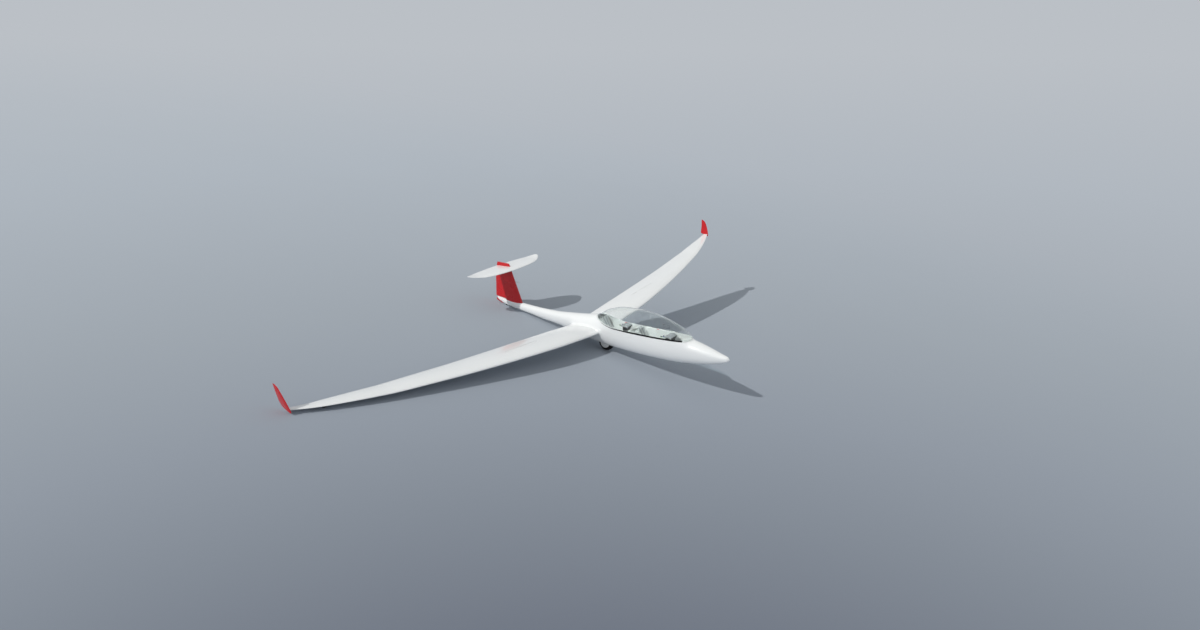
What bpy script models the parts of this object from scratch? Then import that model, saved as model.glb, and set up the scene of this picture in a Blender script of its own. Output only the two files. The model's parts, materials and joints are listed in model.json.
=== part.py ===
"""A 20 m two-seat sailplane with a T-tail, swept-up wings and small winglets.

Every piece is modelled in level body axes, in metres: the nose points to -Y, the port wing to +X, and
Z is the height over the ground under the main wheel. All of it then hangs on one empty, which sets the
glider down as such a glider parks: on its main wheel, its tail wheel and the skid under its starboard wing.
"""

import math

import bmesh
import bpy
from mathutils import Matrix, Vector

# Overall sizes
TIP_X = 9.845  # the wing's end, where the winglet stands
WALL = 0.028  # cockpit wall, laminate and lining together
FIT = 0.0003  # the gap between two pieces that touch
CLEAR = 0.006  # the gap round a piece that moves

# Side view of the body as (y, z), nose to tail. The top line runs over the closed canopy.
TOP_LINE = [(-4.134, 0.690), (-4.08, 0.745), (-3.83, 0.805), (-3.50, 0.895), (-3.20, 0.962), (-2.92, 1.020),
            (-2.80, 1.160), (-2.60, 1.295), (-2.20, 1.445), (-1.70, 1.550), (-1.20, 1.575), (-0.60, 1.530),
            (-0.10, 1.370), (0.33, 1.125), (0.70, 1.040), (1.34, 0.945), (2.03, 0.868), (2.70, 0.848),
            (3.40, 0.858), (4.10, 0.886), (4.30, 0.897), (4.42, 0.896), (4.47, 0.880)]
BOTTOM_LINE = [(-4.134, 0.655), (-4.08, 0.600), (-3.69, 0.456), (-3.28, 0.358), (-2.34, 0.228), (-1.28, 0.188),
               (-0.35, 0.196), (0.50, 0.268), (1.20, 0.370), (1.80, 0.452), (2.51, 0.512), (3.07, 0.582),
               (3.79, 0.648), (4.10, 0.694), (4.30, 0.757), (4.42, 0.806), (4.47, 0.840)]
HALF_WIDTH = [(-4.134, 0.018), (-4.08, 0.072), (-3.80, 0.155), (-3.50, 0.215), (-3.20, 0.262), (-2.90, 0.300),
              (-2.40, 0.345), (-1.80, 0.366), (-1.20, 0.370), (-0.60, 0.362), (0.00, 0.343), (0.60, 0.296),
              (1.20, 0.240), (1.80, 0.190), (2.60, 0.146), (3.40, 0.116), (4.10, 0.088),
              (4.30, 0.070), (4.42, 0.045), (4.47, 0.020)]
WIDEST = [(-4.134, 0.673), (-3.50, 0.700), (-2.90, 0.745), (-2.00, 0.790), (-1.00, 0.800), (0.00, 0.780),
          (1.00, 0.730), (2.00, 0.690), (3.00, 0.705), (4.10, 0.790),
          (4.47, 0.860)]
# The joint between canopy and fuselage in side view
SILL = [(-2.98, 1.004), (-2.78, 0.982), (-2.07, 0.935), (-1.39, 0.905), (-0.75, 0.888), (-0.45, 0.890),
        (-0.20, 0.925), (0.05, 1.005), (0.34, 1.120)]
BODY_STATIONS = [-4.134, -4.115, -4.08, -4.02, -3.93, -3.80, -3.65, -3.50, -3.35, -3.20, -3.06, -2.98, -2.92,
                 -2.88, -2.84, -2.80, -2.72, -2.60, -2.45, -2.30, -2.10, -1.90, -1.65, -1.40, -1.15, -0.90,
                 -0.65, -0.40, -0.20, 0.00, 0.18, 0.34, 0.52, 0.75, 1.00, 1.34, 1.70, 2.03, 2.40, 2.80,
                 3.20, 3.60, 3.95, 4.15, 4.30, 4.38, 4.43]
BOOM_START, BOOM_END = 1.26, 4.47
BULKHEAD_Y = 0.37
CAVITY_NOSE_Y = -3.78

# Wing stations: x, leading edge y, trailing edge y, height z
ROOT_X = 0.372
WING = [(ROOT_X, 0.060, 1.200, 0.655), (0.90, 0.022, 1.200, 0.715), (1.50, 0.016, 1.202, 0.780),
        (2.30, 0.040, 1.212, 0.852), (3.00, 0.100, 1.232, 0.912), (3.80, 0.196, 1.268, 0.970),
        (4.60, 0.312, 1.313, 1.026), (5.50, 0.458, 1.372, 1.090), (6.20, 0.580, 1.424, 1.147),
        (6.90, 0.712, 1.479, 1.203), (7.60, 0.850, 1.532, 1.260), (8.10, 0.962, 1.572, 1.318),
        (8.60, 1.090, 1.607, 1.376), (9.00, 1.205, 1.632, 1.423), (9.30, 1.302, 1.650, 1.458),
        (9.60, 1.410, 1.666, 1.505), (TIP_X, 1.505, 1.680, 1.550)]
WING_THICKNESS = 0.148  # of the chord at the root; thinner outboard
TIP_THICKNESS = 0.115
WING_CAMBER = 0.018
PANEL_JOINT_X = 7.60
AILERONS = {"inner": (5.50, 7.57), "outer": (7.63, 9.28)}
AILERON_SHARE = 0.20  # of the wing's chord

# Airbrake: a blade that rises out of a slot in the wing's upper side
BRAKE_X, BRAKE_Y = 3.25, 0.715
BRAKE_LENGTH, BRAKE_THICKNESS, BRAKE_CAP = 1.30, 0.012, 0.030
BRAKE_DEPTH, SLOT_DEPTH = 0.104, 0.116

# Fin and rudder in side view; the hinge line leans back a little
FIN_FOOT, FIN_TOP = 0.78, 2.118
FIN_LEADING = [(0.86, 3.378), (2.118, 3.925)]
FIN_TRAILING = [(0.86, 4.532), (1.50, 4.524), (1.90, 4.492), (2.03, 4.464), (2.118, 4.432)]
RUDDER_HINGE = ((4.062, 0.93), (4.165, 1.93))
RUDDER_FOOT, RUDDER_TOP = 0.912, 1.910
FIN_THICKNESS = 0.125

# Tailplane stations: x, leading edge y, trailing edge y, rise over the middle; the tips turn up a little
TAIL_Z = 1.988
TAIL = [(0.0, 3.605, 4.432, 0.0), (0.45, 3.629, 4.420, 0.0), (0.90, 3.682, 4.394, 0.0),
        (1.28, 3.790, 4.350, 0.0), (1.45, 3.880, 4.308, 0.012), (1.59, 3.975, 4.266, 0.030),
        (1.67, 4.046, 4.232, 0.043), (1.706, 4.110, 4.196, 0.051)]
TAIL_THICKNESS = 0.095
ELEVATOR_HINGE_Y = 4.252
ELEVATOR_X = (0.062, 1.27)

# Wheels and skids
MAIN_RADIUS, MAIN_WIDTH, RIM_RADIUS = 0.265, 0.160, 0.150
TAIL_WHEEL_RADIUS, TAIL_WHEEL_WIDTH, TAIL_RIM_RADIUS = 0.095, 0.050, 0.052
TAIL_WHEEL_Y, TAIL_WHEEL_Z = 4.055, 0.742
WELL_X, WELL_Y, WELL_TOP, WELL_WALL = 0.118, 0.320, 0.575, 0.008
SKID_X, SKID_Y, SKID_BOTTOM = 9.16, 1.43, 1.352
DOOR_X, DOOR_RADIUS, DOOR_REACH, DOOR_TOP = 0.103, 0.162, 0.158, 0.300

# Canopy
GLASS = 0.006
FRAME_HEIGHT, FRAME_THICKNESS = 0.034, 0.024
CANOPY_HINGE_X, CANOPY_HINGE_Z = -0.385, 0.892

# Cockpit: seat lines as (y, z) for pan and back; panels as face y, low z, high z, half width, post half width
FLOOR_Z = 0.312
SEAT_THICKNESS, PAD_THICKNESS = 0.014, 0.036
SEATS = {
    "front": ([(-2.03, 0.440), (-1.95, 0.460), (-1.82, 0.425), (-1.68, 0.388), (-1.58, 0.388)],
              [(-1.49, 0.432), (-1.16, 0.960)]),
    "rear": ([(-0.56, 0.612), (-0.49, 0.628), (-0.38, 0.612), (-0.26, 0.598), (-0.18, 0.600)],
             [(-0.11, 0.640), (0.15, 1.040)]),
}
PANELS = {"front": (-2.18, 0.72, 0.985, 0.170, 0.060), "rear": (-0.665, 0.80, 0.985, 0.125, 0.045)}
STICKS = {"front": (-2.095, 0.690), "rear": (-0.620, 0.775)}
PEDAL_Y = -2.74

COLOURS = {
    "gelcoat_white": ((0.86, 0.87, 0.86), 0.25, 0.0),
    "signal_red": ((0.52, 0.020, 0.025), 0.30, 0.0),
    "canopy_glass": ((0.80, 0.85, 0.87), 0.05, 0.0),
    "rubber_black": ((0.015, 0.015, 0.016), 0.80, 0.0),
    "wheel_grey": ((0.62, 0.64, 0.65), 0.35, 0.6),
    "steel": ((0.45, 0.46, 0.48), 0.35, 1.0),
    "panel_black": ((0.03, 0.03, 0.032), 0.55, 0.0),
    "cockpit_grey": ((0.55, 0.57, 0.57), 0.60, 0.0),
    "seat_fabric": ((0.20, 0.21, 0.23), 0.90, 0.0),
    "frame_black": ((0.02, 0.02, 0.02), 0.45, 0.0),
}

for old in list(bpy.data.objects):
    bpy.data.objects.remove(old, do_unlink=True)
glider = bpy.data.collections.new("sailplane")
helpers = bpy.data.collections.new("cutters")
helpers.hide_render = True
bpy.context.scene.collection.children.link(glider)
bpy.context.scene.collection.children.link(helpers)


def material(name):
    found = bpy.data.materials.get(name)
    if found:
        return found
    colour, roughness, metallic = COLOURS[name]
    made = bpy.data.materials.new(name)
    made.use_nodes = True
    shader = made.node_tree.nodes["Principled BSDF"]
    shader.inputs["Base Color"].default_value = (*colour, 1.0)
    shader.inputs["Roughness"].default_value = roughness
    shader.inputs["Metallic"].default_value = metallic
    made.diffuse_color = (*colour, 1.0)
    return made


def line_value(points, at):
    """Height of a smooth line through the points, with slopes that never overshoot."""
    xs = [p[0] for p in points]
    vs = [p[1] for p in points]
    if at <= xs[0]:
        return vs[0]
    if at >= xs[-1]:
        return vs[-1]
    i = max(k for k in range(len(xs) - 1) if xs[k] <= at)
    steps = [(vs[k + 1] - vs[k]) / (xs[k + 1] - xs[k]) for k in range(len(xs) - 1)]

    def slope(k):
        if k == 0:
            return steps[0]
        if k == len(xs) - 1:
            return steps[-1]
        a, b = steps[k - 1], steps[k]
        return 0.0 if a * b <= 0 else 2 * a * b / (a + b)

    width = xs[i + 1] - xs[i]
    t = (at - xs[i]) / width
    return (
        (2 * t**3 - 3 * t**2 + 1) * vs[i]
        + (t**3 - 2 * t**2 + t) * width * slope(i)
        + (3 * t**2 - 2 * t**3) * vs[i + 1]
        + (t**3 - t**2) * width * slope(i + 1)
    )


def straight_value(points, at):
    """Value on a line of straight pieces; the end pieces run on."""
    i = 0
    while i < len(points) - 2 and at > points[i + 1][0]:
        i += 1
    (x0, v0), (x1, v1) = points[i], points[i + 1]
    return v0 + (v1 - v0) * (at - x0) / (x1 - x0)


def new_object(name, mesh, finish, cutter=False):
    obj = bpy.data.objects.new(name, mesh)
    (helpers if cutter else glider).objects.link(obj)
    if cutter:
        obj.hide_render = True
        obj.display_type = "WIRE"
    else:
        mesh.materials.append(material(finish))
    return obj


def from_bmesh(name, bm, finish=None, cutter=False, smooth=True):
    bmesh.ops.recalc_face_normals(bm, faces=bm.faces)
    mesh = bpy.data.meshes.new(name)
    bm.to_mesh(mesh)
    bm.free()
    if smooth:
        mesh.shade_smooth()
        mesh.set_sharp_from_angle(angle=math.radians(35))
    return new_object(name, mesh, finish, cutter)


def loft(name, rings, finish=None, cutter=False):
    """A closed solid through rings with the same number of points, flat at both ends."""
    bm = bmesh.new()
    rows = [[bm.verts.new(p) for p in ring] for ring in rings]
    count = len(rows[0])
    for a, b in zip(rows, rows[1:]):
        for k in range(count):
            bm.faces.new((a[k], a[(k + 1) % count], b[(k + 1) % count], b[k]))
    bm.faces.new(rows[0])
    bm.faces.new(rows[-1])
    return from_bmesh(name, bm, finish, cutter)


def box(name, low, high, finish=None, cutter=False, turn=None, bevel=0.0):
    low, high = Vector(low), Vector(high)
    bm = bmesh.new()
    bmesh.ops.create_cube(bm, size=1.0)
    size, centre = high - low, (low + high) / 2
    bmesh.ops.scale(bm, vec=size, verts=bm.verts)
    if turn is not None:
        bmesh.ops.transform(bm, matrix=turn, verts=bm.verts)
    bmesh.ops.translate(bm, vec=centre, verts=bm.verts)
    obj = from_bmesh(name, bm, finish, cutter, smooth=False)
    if bevel:
        round_edges(obj, bevel)
    return obj


def round_edges(obj, width, segments=2):
    bevel = obj.modifiers.new("rounded edges", "BEVEL")
    bevel.width = width
    bevel.segments = segments
    bevel.limit_method = "ANGLE"
    bevel.angle_limit = math.radians(40)


def cone_between(name, start, end, r_start, r_end, finish=None, cutter=False, segments=24):
    start, end = Vector(start), Vector(end)
    bm = bmesh.new()
    bmesh.ops.create_cone(bm, cap_ends=True, segments=segments, radius1=r_start, radius2=r_end,
                          depth=(end - start).length)
    turn = (end - start).to_track_quat("Z", "Y").to_matrix().to_4x4()
    bmesh.ops.transform(bm, matrix=Matrix.Translation((start + end) / 2) @ turn, verts=bm.verts)
    return from_bmesh(name, bm, finish, cutter)


def prism(name, outline, low, high, axis="X", finish=None, cutter=False):
    """A flat outline pushed out along an axis. The outline's points are (y, z) for X and (x, y) for Z."""
    def point(p, at):
        return (at, p[0], p[1]) if axis == "X" else (p[0], p[1], at)

    return loft(name, [[point(p, low) for p in outline], [point(p, high) for p in outline]], finish, cutter)


def cut(obj, cutter, operation="DIFFERENCE"):
    step = obj.modifiers.new(f"{operation.lower()} {cutter.name}", "BOOLEAN")
    step.operation = operation
    step.object = cutter
    step.solver = "EXACT"
    return obj


def turned(name, profile, centre, finish, segments=40):
    """A ring or disc that turns about the X axis through its centre. The profile's points are (radius, x)."""
    bm = bmesh.new()
    corners = [bm.verts.new((r, 0.0, x)) for r, x in profile]
    for a, b in zip(corners, corners[1:] + corners[:1]):
        bm.edges.new((a, b))
    mesh = bpy.data.meshes.new(name)
    bm.to_mesh(mesh)
    bm.free()
    obj = new_object(name, mesh, finish)
    screw = obj.modifiers.new("turn", "SCREW")
    screw.steps = segments
    screw.render_steps = segments
    screw.use_merge_vertices = True
    screw.merge_threshold = 0.00005
    screw.use_smooth_shade = True
    obj.rotation_euler = (0.0, math.radians(90), 0.0)
    obj.location = centre
    return obj


def moves_about(obj, point):
    """Puts the object's origin on its joint's axis and leaves its shape where it is."""
    obj.data.transform(Matrix.Translation(-Vector(point)))
    obj.location = point
    return obj


# The body's surface

RING_POINTS = 40
UPPER_POWER, LOWER_POWER = 2.15, 2.25


def body_ring(y, inset=0.0):
    width = line_value(HALF_WIDTH, y) - inset
    top = line_value(TOP_LINE, y) - inset
    bottom = line_value(BOTTOM_LINE, y) + inset
    middle = min(line_value(WIDEST, y), top - 0.012)
    ring = []
    for k in range(RING_POINTS):
        angle = 2 * math.pi * k / RING_POINTS
        across, up = math.cos(angle), math.sin(angle)
        power = 2 / (UPPER_POWER if up > 0 else LOWER_POWER)
        x = width * math.copysign(abs(across) ** power, across)
        z = middle + (top - middle if up > 0 else middle - bottom) * math.copysign(abs(up) ** power, up)
        ring.append((x, y, z))
    return ring


def body(name, inset=0.0, start=BODY_STATIONS[0], end=BOOM_END, finish=None, cutter=True):
    stations = [start] + [y for y in BODY_STATIONS if start + 0.01 < y < end - 0.01] + [end]
    return loft(name, [body_ring(y, inset) for y in stations], finish, cutter)


def above_sill(name, lift, top=2.2):
    """Everything over the canopy joint, raised by a lift."""
    steps = 28
    first, last = SILL[0][0], SILL[-1][0]
    line = []
    for k in range(steps + 1):
        y = first + (last - first) * k / steps
        line.append((y, line_value(SILL, y) + lift))
    outline = line + [(last, top), (first, top)]
    return prism(name, outline, -0.8, 0.8, cutter=True)


# Wing, fin and tail sections

SECTION_POINTS = 13


def section(thickness, camber=0.0):
    """An aerofoil of chord 1 as (along, up) points, from the trailing edge over the top and back below."""
    def half(u):
        shape = 0.2969 * math.sqrt(u) - 0.1260 * u - 0.3516 * u**2 + 0.2843 * u**3 - 0.1036 * u**4
        return 5 * thickness * shape + 0.0022 * u

    shares = [(1 - math.cos(math.pi * k / (SECTION_POINTS - 1))) / 2 for k in range(SECTION_POINTS)]
    upper = [(u, 4 * camber * u * (1 - u) + half(u)) for u in reversed(shares)]
    lower = [(u, 4 * camber * u * (1 - u) - half(u)) for u in shares[1:]]
    return upper + lower


def half_thickness(share, thickness):
    """Half the thickness of the section at a share of its chord."""
    shape = (0.2969 * math.sqrt(share) - 0.1260 * share - 0.3516 * share**2 + 0.2843 * share**3
             - 0.1036 * share**4)
    return 5 * thickness * shape + 0.0022 * share


def section_ring(leading, trailing, up, thickness, camber=0.0, grow=0.0):
    """The section between two edge points, with its thickness along a given direction."""
    leading, trailing, up = Vector(leading), Vector(trailing), Vector(up).normalized()
    chord = trailing - leading
    along = chord.normalized()
    ring = []
    for share, height in section(thickness, camber):
        point = leading + chord * share + up * (height * chord.length)
        if grow:
            point += up * math.copysign(grow, height) + along * (grow * (2 * share - 1))
        ring.append(tuple(point))
    return ring


def wing_station(x):
    leading = straight_value([(s[0], s[1]) for s in WING], x)
    trailing = straight_value([(s[0], s[2]) for s in WING], x)
    height = straight_value([(s[0], s[3]) for s in WING], x)
    share = (x - ROOT_X) / (TIP_X - ROOT_X)
    return leading, trailing, height, WING_THICKNESS + (TIP_THICKNESS - WING_THICKNESS) * share


def wing_ring(x, side):
    leading, trailing, height, thickness = wing_station(x)
    return section_ring((side * x, leading, height), (side * x, trailing, height), (0, 0, 1), thickness,
                        WING_CAMBER)


def wing_panel(name, side, start, end, finish=None, cutter=False):
    stations = [start] + [s[0] for s in WING if start + 0.02 < s[0] < end - 0.02] + [end]
    return loft(name, [wing_ring(x, side) for x in stations], finish, cutter)


def side_word(side):
    return "port" if side > 0 else "starboard"


# Ailerons

def aileron_hinge(part, side):
    """Both ends of an aileron's hinge line and the radius of its nose at each."""
    ends = []
    for x in AILERONS[part]:
        leading, trailing, height, thickness = wing_station(x)
        chord = trailing - leading
        share = 1 - AILERON_SHARE
        camber_rise = 4 * WING_CAMBER * share * (1 - share) * chord
        point = Vector((side * x, leading + share * chord, height + camber_rise))
        ends.append((point, half_thickness(share, thickness) * chord))
    return ends


def behind_hinge(name, first, last, reach, extra=0.0):
    """A block that holds all that lies behind a hinge line which runs across the glider."""
    run = (last - first).normalized() * extra
    a, b = first - run, last + run
    up, back = Vector((0, 0, 0.2)), Vector((0, reach, 0))
    ring_a = [a - up, a + back - up, a + back + up, a + up]
    ring_b = [b - up, b + back - up, b + back + up, b + up]
    return loft(name, [ring_a, ring_b], cutter=True)


def aileron(part, side):
    (first, r_first), (last, r_last) = aileron_hinge(part, side)
    name = f"aileron_{part}_{side_word(side)}"
    low_x, high_x = AILERONS[part]
    piece = wing_panel(name, side, low_x, high_x, "gelcoat_white")
    cut(piece, behind_hinge(f"{name} cut", first, last, 0.5, extra=0.05), "INTERSECT")
    nose = cone_between(f"{name} nose", first, last, r_first * 0.985, r_last * 0.985, cutter=True)
    cut(piece, nose, "UNION")
    return moves_about(piece, (first + last) / 2)


def make_room_for_aileron(panel, part, side):
    (first, r_first), (last, r_last) = aileron_hinge(part, side)
    run = (last - first).normalized() * CLEAR * 1.6
    name = f"{panel.name} {part} room"
    cut(panel, behind_hinge(f"{name} block", first - run, last + run, 0.5))
    cove = cone_between(f"{name} cove", first - run, last + run, r_first + CLEAR, r_last + CLEAR, cutter=True)
    cut(panel, cove)


# Airbrakes

def brake_turn(side):
    """The wing's slope at the airbrake."""
    inner, outer = wing_station(BRAKE_X - BRAKE_LENGTH / 2), wing_station(BRAKE_X + BRAKE_LENGTH / 2)
    return Matrix.Rotation(-side * math.atan2(outer[2] - inner[2], BRAKE_LENGTH), 4, "Y")


def brake_surface(side):
    leading, trailing, height, thickness = wing_station(BRAKE_X)
    chord = trailing - leading
    share = (BRAKE_Y - leading) / chord
    rise = (4 * WING_CAMBER * share * (1 - share) + half_thickness(share, thickness)) * chord
    return Vector((side * BRAKE_X, BRAKE_Y, height + rise))


def brake_block(name, side, half_length, half_width, top, bottom, finish=None, cutter=True):
    """A block square to the wing's surface at the airbrake, from a height above it to a depth below."""
    surface, turn = brake_surface(side), brake_turn(side)
    normal = turn.to_3x3() @ Vector((0, 0, 1))
    half = Vector((half_length, half_width, (top + bottom) / 2))
    centre = surface + normal * (top - bottom) / 2
    return box(name, centre - half, centre + half, finish, cutter, turn=turn)


def airbrake(side):
    name = f"airbrake_{side_word(side)}"
    reach = (BRAKE_X - BRAKE_LENGTH, BRAKE_X + BRAKE_LENGTH)
    half_length = BRAKE_LENGTH / 2
    piece = wing_panel(name, side, *reach, finish="gelcoat_white")
    piece.data.transform(Matrix.Translation((0, 0, -FIT)))
    cut(piece, brake_block(f"{name} footprint", side, half_length, BRAKE_CAP / 2, 0.1, 0.1), "INTERSECT")
    below = wing_panel(f"{name} below", side, *reach, cutter=True)
    below.data.transform(Matrix.Translation((0, 0, -0.006)))
    cut(piece, below)
    cut(piece, brake_block(f"{name} blade", side, half_length - 0.004, BRAKE_THICKNESS / 2, -0.004, BRAKE_DEPTH),
        "UNION")
    return moves_about(piece, brake_surface(side))


def make_room_for_airbrake(panel, side):
    cut(panel, brake_block(f"{panel.name} airbrake slot", side, BRAKE_LENGTH / 2 + 0.008, BRAKE_CAP / 2 + 0.0055,
                           0.05, SLOT_DEPTH))


# Winglets and tip skids

WINGLET = [  # leading edge point, trailing edge point
    ((9.895, 1.480, 1.490), (9.895, 1.690, 1.532)),
    ((9.897, 1.484, 1.530), (9.897, 1.812, 1.596)),
    ((9.920, 1.508, 1.640), (9.920, 1.828, 1.690)),
    ((9.952, 1.574, 1.820), (9.952, 1.837, 1.850)),
    ((9.976, 1.655, 1.985), (9.976, 1.850, 2.000)),
    ((9.986, 1.730, 2.085), (9.986, 1.862, 2.092)),
    ((9.990, 1.800, 2.125), (9.990, 1.866, 2.130)),
]
WINGLET_THICKNESS = 0.095


def winglet(name, side, grow=0.0, finish=None, cutter=False):
    def flip(p):
        return (side * p[0], p[1], p[2])

    rings = [section_ring(flip(a), flip(b), (1, 0, 0.25 * -side), WINGLET_THICKNESS, grow=grow) for a, b in WINGLET]
    return loft(name, rings, finish, cutter)


def tip_skid(side):
    height = wing_station(SKID_X)[2]
    half_length = 0.11
    outline = [
        (SKID_Y - half_length, height + 0.02), (SKID_Y - half_length, height - 0.045),
        (SKID_Y - 0.6 * half_length, SKID_BOTTOM + 0.012), (SKID_Y - 0.15 * half_length, SKID_BOTTOM),
        (SKID_Y + 0.35 * half_length, SKID_BOTTOM), (SKID_Y + half_length, height - 0.040),
        (SKID_Y + half_length, height + 0.02),
    ]
    piece = prism(f"tip_skid_{side_word(side)}", outline, side * SKID_X - 0.013, side * SKID_X + 0.013,
                  finish="frame_black")
    wing = wing_panel(f"{piece.name} wing", side, SKID_X - 0.16, SKID_X + 0.14, cutter=True)
    wing.data.transform(Matrix.Translation((0, 0, -FIT)))
    lid = box(f"{piece.name} lid", (side * SKID_X - 0.1, SKID_Y - 0.3, height), (side * SKID_X + 0.1, SKID_Y + 0.3,
              height + 0.2), cutter=True)
    cut(piece, wing)
    cut(piece, lid)
    return piece


# Fin, rudder, tailplane and elevator

def fin_chord(z):
    return straight_value(FIN_LEADING, z), straight_value(FIN_TRAILING, z)


def fin_loft(name, low, high, finish=None, cutter=False):
    rings = []
    for z in [low] + [p[0] for p in FIN_TRAILING if low + 0.02 < p[0] < high - 0.02] + [high]:
        leading, trailing = fin_chord(z)
        rings.append(section_ring((0, leading, z), (0, trailing, z), (1, 0, 0), FIN_THICKNESS))
    return loft(name, rings, finish, cutter)


def rudder_axis_y(z):
    (y0, z0), (y1, z1) = RUDDER_HINGE
    return y0 + (y1 - y0) * (z - z0) / (z1 - z0)


def rudder_radius(z):
    leading, trailing = fin_chord(z)
    share = (rudder_axis_y(z) - leading) / (trailing - leading)
    return half_thickness(share, FIN_THICKNESS) * (trailing - leading)


def behind_rudder_hinge(name):
    low, high = 0.5, 2.4
    outline = [(rudder_axis_y(low), low), (4.8, low), (4.8, high), (rudder_axis_y(high), high)]
    return prism(name, outline, -0.3, 0.3, cutter=True)


def rudder_cone(name, low, high, room):
    """The round nose of the rudder, or the hollow ahead of it when there is room round it."""
    radii = [(z, rudder_radius(z) * 0.985 + room) for z in (RUDDER_FOOT, RUDDER_TOP)]
    start = Vector((0, rudder_axis_y(low), low))
    end = Vector((0, rudder_axis_y(high), high))
    return cone_between(name, start, end, straight_value(radii, low), straight_value(radii, high), cutter=True,
                        segments=28)


def tail_ring(x, leading, trailing, rise, grow=0.0):
    height = TAIL_Z + rise
    return section_ring((x, leading, height), (x, trailing, height), (0, 0, 1), TAIL_THICKNESS, grow=grow)


def tailplane_loft(name, grow=0.0, span=None, finish=None, cutter=False):
    """The whole tail surface, or the stretch between two x values of the port side."""
    stations = [(-s[0], *s[1:]) for s in reversed(TAIL[1:])] + TAIL
    if span is not None:
        low, high = span
        ends = [(x, *(straight_value([(s[0], s[k]) for s in TAIL], abs(x)) for k in (1, 2, 3))) for x in span]
        stations = [ends[0]] + [s for s in stations if low + 0.01 < s[0] < high - 0.01] + [ends[1]]
    return loft(name, [tail_ring(*s, grow=grow) for s in stations], finish, cutter)


def elevator_hinge(side):
    ends = []
    for x in ELEVATOR_X:
        leading = straight_value([(s[0], s[1]) for s in TAIL], x)
        trailing = straight_value([(s[0], s[2]) for s in TAIL], x)
        chord = trailing - leading
        share = (ELEVATOR_HINGE_Y - leading) / chord
        ends.append((Vector((side * x, ELEVATOR_HINGE_Y, TAIL_Z)), half_thickness(share, TAIL_THICKNESS) * chord))
    return ends


def build_elevator():
    """Two flaps on one tube, which runs through the tail's fixed middle."""
    inner, outer = ELEVATOR_X
    piece = tailplane_loft("elevator", span=(-outer, outer), finish="gelcoat_white")
    cut(piece, box("elevator middle", (-inner, 3.5, 1.8), (inner, 4.8, 2.2), cutter=True))
    for side in (1, -1):
        (first, r_first), (last, r_last) = elevator_hinge(side)
        if side > 0:
            wide = (last - first).normalized() * 2 * outer
            cut(piece, behind_hinge("elevator cut", last - wide, last, 0.4, extra=0.05), "INTERSECT")
        cut(piece, cone_between(f"elevator nose {side}", first, last, r_first * 0.985, r_last * 0.985, cutter=True),
            "UNION")
    tube = cone_between("elevator tube", (-inner - 0.03, ELEVATOR_HINGE_Y, TAIL_Z),
                        (inner + 0.03, ELEVATOR_HINGE_Y, TAIL_Z), 0.0075, 0.0075, cutter=True, segments=16)
    cut(piece, tube, "UNION")
    return moves_about(piece, (0, ELEVATOR_HINGE_Y, TAIL_Z))


def build_tail():
    fin = fin_loft("fin", FIN_FOOT, TAIL_Z, "signal_red")
    cut(fin, body("fin boom", inset=-FIT, start=BOOM_START))
    cut(fin, behind_rudder_hinge("fin rear cut"))
    cut(fin, rudder_cone("fin cove", 0.6, 2.3, CLEAR))
    cut(fin, tailplane_loft("fin tailplane", grow=FIT, cutter=True))

    cap = fin_loft("fin_cap", TAIL_Z + FIT, FIN_TOP, "signal_red")
    cut(cap, tailplane_loft("cap tailplane", grow=FIT, cutter=True))

    rudder = fin_loft("rudder", RUDDER_FOOT, RUDDER_TOP, "signal_red")
    cut(rudder, behind_rudder_hinge("rudder front cut"), "INTERSECT")
    cut(rudder, rudder_cone("rudder nose", RUDDER_FOOT, RUDDER_TOP, 0.0), "UNION")
    moves_about(rudder, (0, rudder_axis_y(RUDDER_FOOT), RUDDER_FOOT))

    bumper_side = [(4.185, 0.86), (4.185, 0.714), (4.205, 0.704), (4.250, 0.705), (4.300, 0.713), (4.380, 0.735),
                   (4.455, 0.762), (4.500, 0.785), (4.510, 0.800), (4.500, 0.86)]
    bumper = prism("tail_bumper", bumper_side, -0.016, 0.016, finish="signal_red")
    cut(bumper, body("bumper boom", inset=-FIT, start=BOOM_START))
    cut(bumper, box("bumper top", (-0.1, 4.0, 0.842), (0.1, 4.6, 1.0), cutter=True))

    plane = tailplane_loft("tailplane", finish="gelcoat_white")
    for side in (1, -1):
        (first, r_first), (last, r_last) = elevator_hinge(side)
        run = (last - first).normalized() * CLEAR
        cut(plane, behind_hinge(f"tailplane room {side}", first - run, last + run, 0.4))
        cut(plane, cone_between(f"tailplane cove {side}", first - run, last + run, r_first + CLEAR, r_last + CLEAR,
                                cutter=True))
    inner = ELEVATOR_X[0]
    cut(plane, cone_between("tube hole", (-inner - 0.05, ELEVATOR_HINGE_Y, TAIL_Z),
                            (inner + 0.05, ELEVATOR_HINGE_Y, TAIL_Z), 0.0135, 0.0135, cutter=True))
    build_elevator()


# Fuselage

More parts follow.
